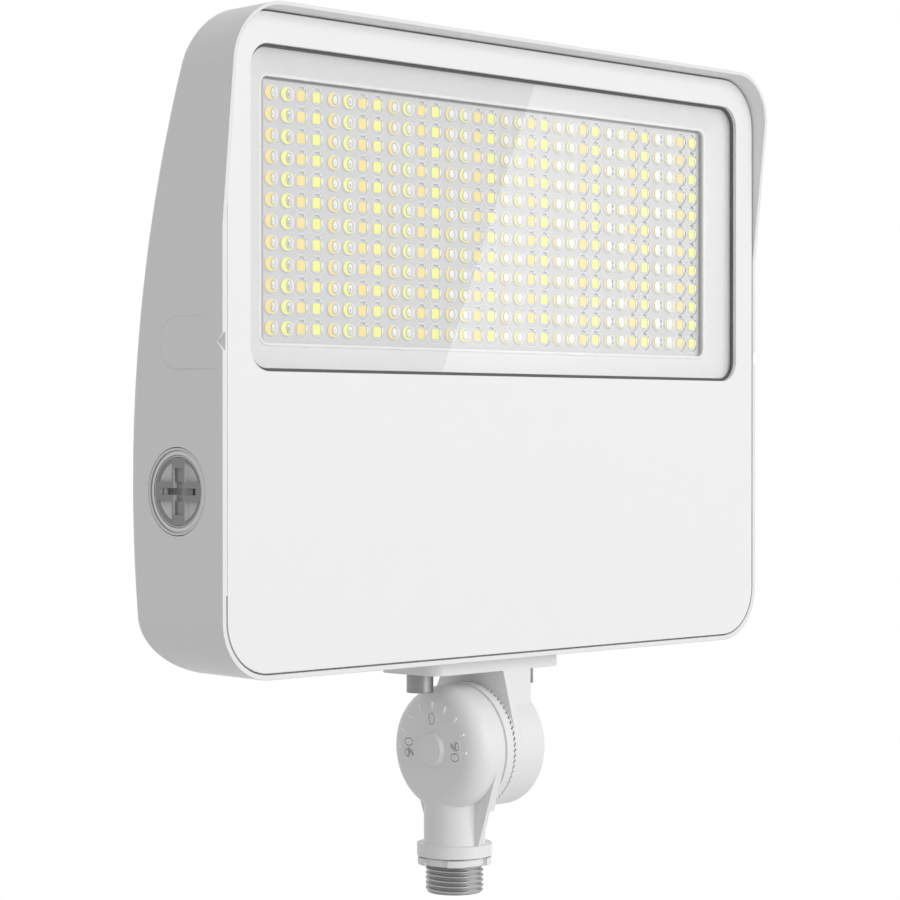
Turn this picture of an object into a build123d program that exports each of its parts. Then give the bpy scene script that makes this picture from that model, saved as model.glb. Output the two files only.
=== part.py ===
from build123d import *
import math
import os

# All sizes are in millimetres. The origin is on the nipple's axis at the locknut's underside.
# +X is to the right seen from the front, the lamp faces -Y and +Z is up.

# Running and seating clearances
RUN_GAP = 0.06
TURN_GAP = 0.3
SEAT_GAP = 0.1
PRESS_GAP = 0.02

# Threaded nipple, half-inch straight pipe thread
THREAD_R = 10.48
THREAD_REACH = 10.4
THREAD_CHAMFER = 0.8
THREAD_FLAT = 9.65
ENGAGED_R = 10.2
SPIGOT_R = 8.6
SPIGOT_L = 12.0
WIRE_BORE_R = 6.6
ARM_BORE_R = 4.8

# Notched locknut and its sealing washer
NUT_R = 13.4
NUT_T = 2.5
NUT_LOBES = 5
NUT_LOBE_TURN = 29.0
NUT_LOBE_START = 226.8
NUT_NOTCH_DEPTH = 1.5
SEAL_R = 11.6
SEAL_T = 0.5

# Lower arm: collar, stem, side ribs and its half of the knuckle drum
COLLAR_R = 13.6
COLLAR_T = 4.4
STEM_R = 11.1
STEM_RISE = 34.6
STEM_RELIEF = 0.8
RIB_T = 1.8
RIB_FRONT = 12.6
RIB_REAR = 11.4
RIB_SHOULDER_DROP = 22.0
ARM_OFFSET = 6.9
ARM_DRUM_R = 22.7
ARM_DRUM_T = 18.5
ARM_DRUM_FILLET = 7.5
RING_R = 23.4
ARM_RING_T = 4.0
BOSS_R = 6.5
BOSS_TOP_R = 5.6
BOSS_RISE = 1.9

# Face teeth of both drum halves
TEETH = 72
TOOTH_INNER_R = 17.0
TOOTH_GROOVE_W = 1.25
TOOTH_GROOVE_DEPTH = 0.7
TOOTH_PHASE = 0.7
TOOTH_GAP = 0.1

# Wire cavity and the pivot bolt inside the knuckle
CAVITY_R = 13.0
CAVITY_WALL = 3.5
POST_R = 6.6
PIVOT_R = 3.95
PIVOT_THREAD = 11.0
PIVOT_HEAD_R = 6.4
PIVOT_HEAD_T = 5.0
PIVOT_SOCKET_R = 3.4
PIVOT_SOCKET_DEPTH = 3.0
PIVOT_WASHER_T = 1.6
RECESS_WALL = 1.8
KNUCKLE_SEAL_R = 15.6
KNUCKLE_SEAL_W = 1.6
KNUCKLE_SEAL_T = 1.4

# Upper bracket: drum half, web, neck and flange
BRACKET_RING_T = 0.9
BRACKET_DRUM_R = 22.7
BRACKET_DRUM_T = 18.0
BRACKET_DRUM_FILLET = 2.2
WEB_T = 3.0
NECK_T = 15.7
FLANGE_W = 68.0
FLANGE_FRONT = 16.7
FLANGE_REAR = 13.3
FLANGE_T = 4.2
FLANGE_R = 6.5
FLANGE_RISE = 28.1
FLANGE_GASKET_T = 0.8
CHANNEL_D = 10.0
BRACKET_BOLT_SPACING = 53.0
BRACKET_BOLT_R = 2.95
BRACKET_BOLT_HEAD_R = 4.8
BRACKET_BOLT_HEAD_T = 6.8
BRACKET_BOLT_GRIP = 9.0
BRACKET_BOLT_SOCKET_R = 2.6
BRACKET_BOLT_SOCKET_DEPTH = 3.0

# Rear housing: outline, curved back, draft and front hood
FRONT_SETBACK = 24.1
HEAD_W = 279.2
HEAD_H = 220.5
HEAD_CORNER_R = 20.0
HEAD_DEPTH = 47.5
HEAD_DRAFT = 1.0
TOP_DEPTH = 13.8
BACK_VERTEX = 64.0
HEEL_R = 22.0
HEEL_RISE = 21.5
CROWN_R = 7.0
CROWN_DROP = 6.6
EDGE_CUT = 0.3
REAR_EDGE_R = 2.5
HOOD_REACH = 7.6
HOOD_RUN = 72.5
HOOD_DRAFT = 4.0
RIM_W = 1.65
LEDGE_W = 3.6
LEDGE_T = 3.0
BACK_WALL = 2.6

# Heat sink platform and fins behind the light board
PLATFORM_DROP = 9.0
SINK_BASE = 3.4
FIN_COUNT = 17
FIN_PITCH = 13.1
FIN_GROOVE_W = 8.6
FIN_TOP_DROP = 13.0
FIN_BOTTOM_LIFT = 5.0

# Front cover with its window
COVER_GAP = 0.6
COVER_T = 2.0
COVER_GASKET_T = 1.0
COVER_GASKET_W = 2.6
WINDOW_SIDE = 12.3
WINDOW_DROP = 12.6
WINDOW_H = 107.0
WINDOW_R = 8.0
WINDOW_LIP_T = 1.4
GASKET_SHOW = 1.1
GLASS_OVERLAP = 2.2
GLASS_T = 2.5

# Cover screws, driven from the back
SCREW_R = 1.45
SCREW_HEAD_R = 2.75
SCREW_HEAD_T = 2.2
SCREW_WELL_R = 3.2
SCREW_SOCKET_R = 1.4
SCREW_SOCKET_DEPTH = 1.2
COLUMN_R = 4.2
COVER_BOSS_R = 2.8
COVER_BOSS_T = 3.0
SCREW_GRIP = 4.0
TOP_SCREW_X = 70.0
TOP_SCREW_INSET = 5.5
SIDE_SCREW_INSET = 8.2
SIDE_SCREW_DROP = 8.9
CORNER_SCREW_INSET_X = 16.0
CORNER_SCREW_RISE = 12.0

# Light engine: bevelled frame, lens plate, board and chips
LED_PITCH_X = 7.168
LED_PITCH_Z = 7.087
LED_EDGE = 5.0
CHIP_SIZE = 3.0
CHIP_T = 0.7
BEVEL_W = 11.0
BEVEL_H = 9.4
PANEL_R = 3.0
PANEL_DEPTH = 9.2
PANEL_LIP_W = 1.0
PANEL_LIP_T = 0.8
LENS_PLATE_T = 1.4
CHIP_AIR = 0.3
BOARD_T = 1.6
FRAME_MARGIN = 0.6
FRAME_WALL = 1.6
BOARD_SCREW_R = 1.4
BOARD_SCREW_HEAD_R = 1.9
BOARD_SCREW_HEAD_T = 0.8
BOARD_SCREW_GRIP = 2.4

# Driver on its pedestals in the lower compartment
DRIVER_W = 150.0
DRIVER_H = 56.0
DRIVER_D = 22.0
DRIVER_R = 4.0
DRIVER_SHIFT = 12.0
DRIVER_LIFT = 5.5
DRIVER_BACK_DEPTH = 31.0
DRIVER_TAB_W = 11.0
DRIVER_TAB_T = 1.5
DRIVER_LEDGE = 0.8
PEDESTAL_W = 12.0
DRIVER_SCREW_R = 1.9
DRIVER_SCREW_HEAD_R = 3.4
DRIVER_SCREW_HEAD_T = 2.2
DRIVER_SCREW_GRIP = 6.0

# Access plug in the left wall and the selector behind it
PLUG_DEPTH = 23.0
PLUG_DROP = 39.3
PLUG_FLANGE_R = 14.35
PLUG_FLANGE_T = 1.6
PLUG_SEAT_R = 14.65
PLUG_NECK_R = 12.95
PLUG_HOLE_R = 13.05
PLUG_NECK_L = 8.5
PLUG_LIP_R = 13.1
PLUG_LIP_RISE = 0.8
PLUG_LIP_FILLET = 0.6
PLUG_CUP_R = 11.4
PLUG_CUP_DEPTH = 6.0
PLUG_CROSS_W = 6.0
PLUG_CROSS_DROP = 1.6
PLUG_SLOT_W = 2.3
PLUG_SLOT_L = 15.8
PLUG_SLOT_DEPTH = 2.4
PLUG_RING_T = 1.4
PLUG_BOSS_R = 17.5
PLUG_BOSS_T = 9.5
SELECTOR_SETBACK = 19.0
SELECTOR_BOARD_W = 14.0
SELECTOR_BOARD_H = 50.0
SELECTOR_BOARD_T = 1.6
SELECTOR_POST_R = 3.2
SELECTOR_POST_SPACING = 42.0
SWITCH_W = 4.4
SWITCH_H = 9.0
SWITCH_T = 3.6
SWITCH_SPACING = 6.0
SWITCH_WALL = 0.7
SLIDER_W = 1.8
SLIDER_H = 2.2
SLIDER_T = 4.4
SLIDER_STEP = 2.0
SELECTOR_SCREW_R = 1.2
SELECTOR_SCREW_HEAD_R = 2.2
SELECTOR_SCREW_HEAD_T = 1.2
SELECTOR_SCREW_GRIP = 4.0

# Grip pads and pry notches on the side walls
PAD_H = 17.2
PAD_REACH = 31.0
NOTCH_H = 5.8
NOTCH_DEPTH = 3.0
NOTCH_CUT = 1.2

# Wire bushing between the bracket and the housing
BUSHING_WALL = 1.4
BUSHING_RISE = 5.0
BUSHING_LIP = 1.4
MOUNT_PAD_T = 1.3

# Places worked out from the sizes above
COLLAR_Z = NUT_T + SEAL_T
STEM_Z = COLLAR_Z + COLLAR_T
AXIS_Z = STEM_Z + STEM_RISE
FLANGE_Z = AXIS_Z + FLANGE_RISE
FLANGE_D = FLANGE_FRONT + FLANGE_REAR
FLANGE_Y = (FLANGE_REAR - FLANGE_FRONT) / 2
HEAD_Z = FLANGE_Z + FLANGE_T + FLANGE_GASKET_T
HEAD_TOP = HEAD_Z + HEAD_H
MID_X = ARM_OFFSET
WINDOW_W = HEAD_W - 2 * WINDOW_SIDE
WINDOW_Z = HEAD_TOP - WINDOW_DROP - WINDOW_H / 2
WINDOW_LOW = WINDOW_Z - WINDOW_H / 2
PANEL_W = WINDOW_W - 2 * BEVEL_W
PANEL_H = WINDOW_H - 2 * BEVEL_H
LED_COLUMNS = 2 * math.floor(((PANEL_W - 2 * LED_EDGE) / LED_PITCH_X + 1) / 2)
LED_ROWS = 2 * math.floor(((PANEL_H - 2 * LED_EDGE) / LED_PITCH_Z + 1) / 2)
LEFT_X = MID_X - HEAD_W / 2
BACK_DROP = HEAD_DEPTH - TOP_DEPTH
BACK_R = ((HEAD_H - BACK_VERTEX) ** 2 + BACK_DROP**2) / (2 * BACK_DROP)
RIM_IN = RIM_W + COVER_GAP
COVER_W = HEAD_W - 2 * RIM_IN
COVER_H = HEAD_H - 2 * RIM_IN
HEAD_MID_Z = HEAD_Z + HEAD_H / 2
LEDGE_DEPTH = COVER_T + COVER_GASKET_T
LEDGE_INSET = RIM_W + LEDGE_W
GLASS_DEPTH = COVER_T
GLASS_W = WINDOW_W + 2 * GLASS_OVERLAP
GLASS_H = WINDOW_H + 2 * GLASS_OVERLAP
FRAME_DEPTH = GLASS_DEPTH + GLASS_T + SEAT_GAP
CHIP_DEPTH = PANEL_DEPTH + LENS_PLATE_T + CHIP_AIR
BOARD_DEPTH = CHIP_DEPTH + CHIP_T
PLATFORM_DEPTH = BOARD_DEPTH + BOARD_T
PLATFORM_Z = WINDOW_LOW - PLATFORM_DROP
PLUG_Y = PLUG_DEPTH - FRONT_SETBACK
PLUG_Z = WINDOW_LOW - PLUG_DROP
DRIVER_X = MID_X + DRIVER_SHIFT
DRIVER_Z = (HEAD_Z + PLATFORM_Z) / 2 + DRIVER_LIFT
BRACKET_X = (MID_X - BRACKET_BOLT_SPACING / 2, MID_X + BRACKET_BOLT_SPACING / 2)
CHANNEL_X = MID_X + (BRACKET_RING_T + NECK_T) / 2


def at_depth(depth):
    """Y of a plane that lies this far behind the lamp's front plane."""
    return depth - FRONT_SETBACK


def prism_x(sketch, x_low, x_high):
    """A profile drawn in Y and Z, made solid from x_low to x_high."""
    return extrude(Plane.YZ.offset(x_low) * sketch, amount=x_high - x_low)


def prism_y(sketch, y_low, y_high):
    """An outline drawn in X and Z, made solid from y_low to y_high."""
    return extrude(Plane.XZ.offset(-y_high) * sketch, amount=y_high - y_low)


def prism_z(sketch, z_low, z_high):
    """A plan drawn in X and Y, made solid from z_low to z_high."""
    return extrude(Plane.XY.offset(z_low) * sketch, amount=z_high - z_low)


def taper_y(front, y_front, back, y_back):
    """A straight-walled solid between two outlines drawn in X and Z."""
    return loft([Plane.XZ.offset(-y_front) * front, Plane.XZ.offset(-y_back) * back], ruled=True)


def panel(width, height, radius, mid_z):
    """A rounded rectangle about the lamp's centre line, drawn in X and Z."""
    return Pos(MID_X, mid_z) * RectangleRounded(width, height, radius)


def ring_x(outer_r, inner_r, x_low, x_high, y=0.0, z=AXIS_Z):
    """A ring about an axis along X."""
    disc = Circle(outer_r) - Circle(inner_r)
    return prism_x(Pos(y, z) * disc, x_low, x_high)


def disc_x(radius, x_low, x_high, y=0.0, z=AXIS_Z):
    """A round bar along X."""
    return prism_x(Pos(y, z) * Circle(radius), x_low, x_high)


def disc_y(radius, y_low, y_high, x, z):
    """A round bar along Y."""
    return prism_y(Pos(x, z) * Circle(radius), y_low, y_high)


def disc_z(radius, z_low, z_high, x=0.0, y=0.0):
    """A round bar along Z."""
    return prism_z(Pos(x, y) * Circle(radius), z_low, z_high)


def head_size(depth):
    """How much the draft has narrowed each wall at this depth."""
    return depth * math.tan(math.radians(HEAD_DRAFT))


def head_outline(depth, inset=0.0):
    """The housing's outline at a depth, drawn in by the draft and an inset."""
    drawn = inset + head_size(depth)
    corner = HEAD_CORNER_R - drawn
    return panel(HEAD_W - 2 * drawn, HEAD_H - 2 * drawn, corner, HEAD_MID_Z)


def hood_depth(height):
    """Depth of the front edge at a height above the housing's bottom, negative in the hood."""
    return -max(0.0, (height - HEAD_H + HOOD_RUN) * HOOD_REACH / HOOD_RUN)


def back_depth(height, wall=0.0):
    """Depth of the curved back at a height above the housing's bottom."""
    radius = BACK_R - wall
    drop = radius - math.sqrt(radius**2 - (height - BACK_VERTEX) ** 2)
    return HEAD_DEPTH - wall - drop


def arch_round(radius, rise, wall, low):
    """Round between the arched back and a level wall: points from the wall to the arch."""
    arch = BACK_R - wall
    arch_y = HEAD_DEPTH - BACK_R
    mid_y = arch_y + math.sqrt((arch - radius) ** 2 - (rise - BACK_VERTEX) ** 2)
    knee = math.atan2(rise - BACK_VERTEX, mid_y - arch_y)
    foot = math.asin(max(-1.0, min(1.0, (low - rise) / radius)))
    turns = (foot, (foot + knee) / 2, knee)
    return [(mid_y + radius * math.cos(turn), rise + radius * math.sin(turn)) for turn in turns]


def side_profile(wall, front_depth, low, high, crown=True):
    """Side view between two heights: straight front, round heel, arched back and round crown."""
    heel = arch_round(HEEL_R - wall, HEEL_RISE, wall, low)
    if crown:
        top = arch_round(CROWN_R, HEAD_H - CROWN_DROP, wall, high)[::-1]
    else:
        top = [(back_depth(high, wall), high)]
    middle = (heel[2][1] + top[0][1]) / 2
    outline = [
        Line((front_depth, high), (front_depth, low)),
        Line((front_depth, low), heel[0]),
        ThreePointArc(*heel),
        ThreePointArc(heel[2], (back_depth(middle, wall), middle), top[0]),
        Line(top[-1], (front_depth, high)),
    ]
    if crown:
        outline.append(ThreePointArc(*top))
    return Pos(-FRONT_SETBACK, HEAD_Z) * make_face(Wire(outline))


def hood_cutter():
    """The space in front of the sloped hood edge and of the flat front."""
    reach = HOOD_REACH + HEAD_CORNER_R
    over = HEAD_H + HEAD_CORNER_R
    points = [
        (0.0, -HEAD_CORNER_R),
        (0.0, HEAD_H - HOOD_RUN),
        (hood_depth(over), over),
        (-reach - HOOD_REACH, over),
        (-reach - HOOD_REACH, -HEAD_CORNER_R),
    ]
    face = make_face(Polyline(*points, close=True))
    return prism_x(Pos(-FRONT_SETBACK, HEAD_Z) * face, LEFT_X - RIM_W, LEFT_X + HEAD_W + RIM_W)


def head_envelope():
    """The housing's outside: drafted walls, arched back, round heel and hooded front."""
    front = -HOOD_REACH
    outline = Plane.XZ.offset(-at_depth(front)) * head_outline(front)
    walls = extrude(outline, amount=front - HEAD_DEPTH - REAR_EDGE_R, taper=HEAD_DRAFT)
    side = side_profile(0.0, front - RIM_W, -EDGE_CUT, HEAD_H + EDGE_CUT)
    body = walls & prism_x(side, LEFT_X - RIM_W, LEFT_X + HEAD_W + RIM_W)
    return fillet(rear_edges(body), REAR_EDGE_R) - hood_cutter()


def rear_edges(body):
    """The loop of edges round the arched back and the heel."""
    backs = body.faces().filter_by(GeomType.CYLINDER)
    edges = backs.edges()
    middles = [edge.position_at(0.5) for edge in edges]
    counts = [sum((point - other).length < RUN_GAP for other in middles) for point in middles]
    return [edge for edge, count in zip(edges, counts) if count == 1]


def screw_places():
    """The cover screws: two above the window, two below it and two in the bottom corners."""
    top = HEAD_TOP - RIM_W - TOP_SCREW_INSET
    side = HEAD_W / 2 - SIDE_SCREW_INSET
    corner = HEAD_W / 2 - CORNER_SCREW_INSET_X
    pairs = [(TOP_SCREW_X, top), (side, WINDOW_LOW - SIDE_SCREW_DROP), (corner, HEAD_Z + CORNER_SCREW_RISE)]
    return [(MID_X + sign * x, z) for x, z in pairs for sign in (-1, 1)]


def screw_seat_depth():
    """Depth of the face that a cover screw's head bears on."""
    return COVER_T + COVER_BOSS_T + SEAT_GAP + SCREW_GRIP


def fin_places():
    """Centre of each groove between the cooling fins."""
    return [MID_X + (i - (FIN_COUNT - 1) / 2) * FIN_PITCH for i in range(FIN_COUNT)]


def pedestal_places():
    """Centre of each pedestal under a driver tab."""
    reach = DRIVER_W / 2 + DRIVER_TAB_W / 2
    return [DRIVER_X - reach, DRIVER_X + reach]


def driver_screw_places():
    """The four driver screws, two on each pedestal."""
    return [(x, DRIVER_Z + sign * DRIVER_H / 4) for x in pedestal_places() for sign in (-1, 1)]


def board_screw_places():
    """The board's screws, between the chips of the outer rows and columns."""
    x = LED_PITCH_X * (LED_COLUMNS / 2 - 1)
    z = LED_PITCH_Z * (LED_ROWS / 2 - 1)
    return [(MID_X + i * x, WINDOW_Z + j * z) for i in (-1, 0, 1) for j in (-1, 1)]


def side_pad(side):
    """A grip pad that stays flat while the drafted wall falls away from it."""
    straight = PAD_REACH - PAD_H / 2
    shape = Pos(straight / 2, 0) * Rectangle(straight, PAD_H)
    shape += Pos(straight, 0) * Circle(PAD_H / 2)
    outer = HEAD_W / 2
    inner = outer - head_size(HEAD_DEPTH) - RIM_W
    low, high = sorted((MID_X + side * inner, MID_X + side * outer))
    return prism_x(Pos(-FRONT_SETBACK, HEAD_MID_Z) * shape, low, high)


def pry_notch(side):
    """A triangular notch in the rim beside the grip pad."""
    half = NOTCH_H / 2
    points = [(-NOTCH_CUT, half), (0, half), (NOTCH_DEPTH, 0), (0, -half), (-NOTCH_CUT, -half)]
    face = make_face(Polyline(*points, close=True))
    outer = HEAD_W / 2 + RIM_W
    inner = HEAD_W / 2 - NOTCH_CUT
    low, high = sorted((MID_X + side * inner, MID_X + side * outer))
    return prism_x(Pos(-FRONT_SETBACK, HEAD_MID_Z) * face, low, high)


def rear_housing():
    """Die-cast back with the hood, the sink fins, the screw columns and the driver pedestals."""
    body = head_envelope()
    for side in (-1, 1):
        body += side_pad(side)

    # Opening for the cover, with a drafted hood above it
    lead = HOOD_REACH * math.tan(math.radians(HOOD_DRAFT))
    flare = head_outline(0, RIM_W - lead)
    opening = taper_y(flare, at_depth(-HOOD_REACH), head_outline(0, RIM_W), at_depth(0))
    body -= opening
    body -= prism_y(head_outline(0, RIM_W), at_depth(0), at_depth(LEDGE_DEPTH))

    # Inside: a shallow upper space over the platform and a deep lower compartment
    ledge_back = LEDGE_DEPTH + LEDGE_T
    walls = prism_y(head_outline(0, LEDGE_INSET), at_depth(LEDGE_DEPTH), at_depth(ledge_back))
    walls += prism_y(head_outline(0, inner_wall()), at_depth(ledge_back), at_depth(HEAD_DEPTH))
    upper = Pos(MID_X, at_depth((LEDGE_DEPTH + PLATFORM_DEPTH) / 2), HEAD_MID_Z) * Box(
        HEAD_W, PLATFORM_DEPTH - LEDGE_DEPTH, HEAD_H
    )
    side = side_profile(BACK_WALL, LEDGE_DEPTH, BACK_WALL, PLATFORM_Z - HEAD_Z, crown=False)
    lower = prism_x(side, LEFT_X, LEFT_X + HEAD_W)
    cavity = walls & (upper + lower)
    boss_end = COVER_T + COVER_BOSS_T + SEAT_GAP
    for x, z in screw_places():
        cavity -= disc_y(COLUMN_R, at_depth(boss_end), at_depth(HEAD_DEPTH), x, z)
    for x in pedestal_places():
        cavity -= Pos(x, at_depth(DRIVER_BACK_DEPTH + HEAD_DEPTH / 2), DRIVER_Z) * Box(
            PEDESTAL_W, HEAD_DEPTH, DRIVER_H
        )
    plug_boss = disc_x(PLUG_BOSS_R, LEFT_X, LEFT_X + PLUG_BOSS_T, PLUG_Y, PLUG_Z)
    cavity -= plug_boss
    for sign in (-1, 1):
        post_z = PLUG_Z + sign * SELECTOR_POST_SPACING / 2
        cavity -= disc_x(SELECTOR_POST_R, LEFT_X, LEFT_X + SELECTOR_SETBACK, PLUG_Y, post_z)
        cavity += disc_x(
            SELECTOR_SCREW_R + RUN_GAP,
            LEFT_X + SELECTOR_SETBACK - SELECTOR_SCREW_GRIP,
            LEFT_X + SELECTOR_SETBACK,
            PLUG_Y,
            post_z,
        )
    for x in BRACKET_X:
        cavity -= disc_z(BRACKET_BOLT_R * 2, HEAD_Z, HEAD_Z + BRACKET_BOLT_GRIP + BACK_WALL, x, FLANGE_Y)
    body -= cavity
    body += mounting_pad()

    # Sink grooves open to the back
    fin_low = PLATFORM_Z + FIN_BOTTOM_LIFT
    fin_high = HEAD_TOP - FIN_TOP_DROP
    cuts = []
    for x in fin_places():
        groove = Pos(x, (fin_low + fin_high) / 2) * RectangleRounded(
            FIN_GROOVE_W, fin_high - fin_low, FIN_GROOVE_W / 3
        )
        cuts.append(prism_y(groove, at_depth(PLATFORM_DEPTH + SINK_BASE), at_depth(HEAD_DEPTH)))

    # Cover screw pockets, clearance holes and wells
    seat = screw_seat_depth()
    for x, z in screw_places():
        cuts.append(disc_y(COVER_BOSS_R + TURN_GAP, at_depth(LEDGE_DEPTH), at_depth(boss_end), x, z))
        cuts.append(disc_y(SCREW_R + RUN_GAP, at_depth(boss_end), at_depth(seat), x, z))
        cuts.append(disc_y(SCREW_WELL_R, at_depth(seat), at_depth(HEAD_DEPTH), x, z))

    # Threaded holes under the driver and the board
    for x, z in driver_screw_places():
        end = DRIVER_BACK_DEPTH + DRIVER_SCREW_GRIP
        cuts.append(disc_y(DRIVER_SCREW_R + RUN_GAP, at_depth(DRIVER_BACK_DEPTH), at_depth(end), x, z))
    for x, z in board_screw_places():
        end = PLATFORM_DEPTH + BOARD_SCREW_GRIP
        cuts.append(disc_y(BOARD_SCREW_R + RUN_GAP, at_depth(PLATFORM_DEPTH), at_depth(end), x, z))
    body = body.cut(*cuts)

    # Plug hole with its seat, bracket bolt holes and wire hole
    body -= disc_x(PLUG_HOLE_R, LEFT_X, LEFT_X + PLUG_BOSS_T, PLUG_Y, PLUG_Z)
    body -= disc_x(PLUG_SEAT_R, LEFT_X - RIM_W, LEFT_X + plug_seat_depth(), PLUG_Y, PLUG_Z)
    for x in BRACKET_X:
        body -= disc_z(BRACKET_BOLT_R + RUN_GAP, HEAD_Z, HEAD_Z + BRACKET_BOLT_GRIP, x, FLANGE_Y)
    body -= disc_z(bushing_r() + RUN_GAP, HEAD_Z, HEAD_Z + HEEL_R, CHANNEL_X, 0.0)
    for side in (-1, 1):
        body -= pry_notch(side)
    return body


def inner_wall():
    """Inset of the inside walls at the front plane, so that the draft leaves the full wall behind."""
    return BACK_WALL + head_size(HEAD_DEPTH)


def plug_seat_depth():
    """Depth of the plug's counterbore, for its flange and its sealing ring."""
    return head_size(PLUG_DEPTH) + PLUG_FLANGE_T + PLUG_RING_T


def bushing_r():
    """Outer radius of the wire bushing."""
    return CHANNEL_D / 2 + BUSHING_WALL - RUN_GAP


def flange_plan():
    """Outline of the bracket's flange, which its gasket and the pad above it share."""
    return Pos(MID_X, FLANGE_Y) * RectangleRounded(FLANGE_W, FLANGE_D, FLANGE_R)


def mounting_pad():
    """The flat pad under the housing that the bracket's gasket seals on."""
    return prism_z(flange_plan(), HEAD_Z, mount_pad_top())


def mount_pad_top():
    """Height of the thickened floor over the bracket."""
    return HEAD_Z + inner_wall() + MOUNT_PAD_T


def front_cover():
    """Flat cover plate with the window, its glass rebate and the threaded bosses."""
    corner = HEAD_CORNER_R - RIM_IN
    body = prism_y(panel(COVER_W, COVER_H, corner, HEAD_MID_Z), at_depth(0), at_depth(COVER_T))
    window = panel(WINDOW_W, WINDOW_H, WINDOW_R, WINDOW_Z)
    body -= prism_y(window, at_depth(0), at_depth(WINDOW_LIP_T))
    rebate = panel(GLASS_W + TURN_GAP, GLASS_H + TURN_GAP, WINDOW_R + GLASS_OVERLAP, WINDOW_Z)
    body -= prism_y(rebate, at_depth(WINDOW_LIP_T), at_depth(COVER_T))
    for x, z in screw_places():
        body += disc_y(COVER_BOSS_R, at_depth(COVER_T), at_depth(COVER_T + COVER_BOSS_T), x, z)
        thread_start = COVER_T / 2
        body -= disc_y(SCREW_R + RUN_GAP, at_depth(thread_start), at_depth(COVER_T + COVER_BOSS_T), x, z)
    return body


def glass_gasket():
    """Dark gasket in the cover's rebate, showing as a narrow line round the glass."""
    outer = panel(GLASS_W, GLASS_H, WINDOW_R + GLASS_OVERLAP, WINDOW_Z)
    inner_w = WINDOW_W - 2 * GASKET_SHOW
    inner_h = WINDOW_H - 2 * GASKET_SHOW
    inner = panel(inner_w, inner_h, WINDOW_R - GASKET_SHOW, WINDOW_Z)
    return prism_y(outer - inner, at_depth(WINDOW_LIP_T), at_depth(GLASS_DEPTH))


def glass_lens():
    """Flat clear pane behind the window."""
    pane = panel(GLASS_W, GLASS_H, WINDOW_R + GLASS_OVERLAP, WINDOW_Z)
    return prism_y(pane, at_depth(GLASS_DEPTH), at_depth(GLASS_DEPTH + GLASS_T))


def cover_gasket():
    """Flat ring between the housing's ledge and the cover."""
    outer = head_outline(0, RIM_IN)
    inner = head_outline(0, RIM_IN + COVER_GASKET_W)
    ring = prism_y(outer - inner, at_depth(COVER_T), at_depth(LEDGE_DEPTH))
    for x, z in screw_places():
        ring -= disc_y(COVER_BOSS_R + TURN_GAP, at_depth(COVER_T), at_depth(LEDGE_DEPTH), x, z)
    return ring


def cover_screws():
    """Six socket screws that pull the cover in from behind."""
    seat = screw_seat_depth()
    screws = []
    for x, z in screw_places():
        tip = COVER_T / 2 + SEAT_GAP
        screw = disc_y(SCREW_R, at_depth(tip), at_depth(seat), x, z)
        screw += disc_y(SCREW_HEAD_R, at_depth(seat), at_depth(seat + SCREW_HEAD_T), x, z)
        socket = Pos(x, z) * RegularPolygon(SCREW_SOCKET_R, 6)
        socket_floor = seat + SCREW_HEAD_T - SCREW_SOCKET_DEPTH
        screw -= prism_y(socket, at_depth(socket_floor), at_depth(seat + SCREW_HEAD_T))
        screws.append(screw)
    return screws


def reflector_frame():
    """White bevelled frame between the glass and the lens plate."""
    margin = 2 * FRAME_MARGIN
    outer = panel(WINDOW_W + margin, WINDOW_H + margin, WINDOW_R, WINDOW_Z)
    frame_back = PLATFORM_DEPTH - SEAT_GAP
    body = prism_y(outer, at_depth(FRAME_DEPTH), at_depth(frame_back))
    lip = 2 * PANEL_LIP_W
    bevel_end = PANEL_DEPTH - PANEL_LIP_T
    mouth = panel(WINDOW_W, WINDOW_H, WINDOW_R, WINDOW_Z)
    throat = panel(PANEL_W + lip, PANEL_H + lip, PANEL_R + PANEL_LIP_W, WINDOW_Z)
    body -= taper_y(mouth, at_depth(FRAME_DEPTH), throat, at_depth(bevel_end))

    # Hollow underneath, with an outer and an inner wall that stand on the platform
    wall = 2 * FRAME_WALL
    hollow = panel(WINDOW_W + margin - wall, WINDOW_H + margin - wall, WINDOW_R - FRAME_WALL, WINDOW_Z)
    hollow -= panel(PANEL_W + wall, PANEL_H + wall, PANEL_R + FRAME_WALL, WINDOW_Z)
    body -= prism_y(hollow, at_depth(bevel_end + FRAME_WALL), at_depth(frame_back))
    hole = panel(PANEL_W, PANEL_H, PANEL_R, WINDOW_Z)
    return body - prism_y(hole, at_depth(bevel_end), at_depth(frame_back))


def led_places(first_column):
    """Centres of the chips in every second column, from the given one."""
    columns = range(first_column, LED_COLUMNS, 2)
    x_of = [MID_X + (i - (LED_COLUMNS - 1) / 2) * LED_PITCH_X for i in columns]
    z_of = [WINDOW_Z + (j - (LED_ROWS - 1) / 2) * LED_PITCH_Z for j in range(LED_ROWS)]
    return [(x, z) for x in x_of for z in z_of]


def lens_plate():
    """Clear plate in front of the chips."""
    clear = 2 * SEAT_GAP
    plate = panel(PANEL_W - clear, PANEL_H - clear, PANEL_R, WINDOW_Z)
    return prism_y(plate, at_depth(PANEL_DEPTH), at_depth(PANEL_DEPTH + LENS_PLATE_T))


def led_board():
    """Aluminium circuit board behind the lens plate."""
    clear = 2 * SEAT_GAP
    board = panel(PANEL_W - clear, PANEL_H - clear, PANEL_R, WINDOW_Z)
    body = prism_y(board, at_depth(BOARD_DEPTH), at_depth(PLATFORM_DEPTH))
    for x, z in board_screw_places():
        body -= disc_y(BOARD_SCREW_R + RUN_GAP, at_depth(BOARD_DEPTH), at_depth(PLATFORM_DEPTH), x, z)
    return body


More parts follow.
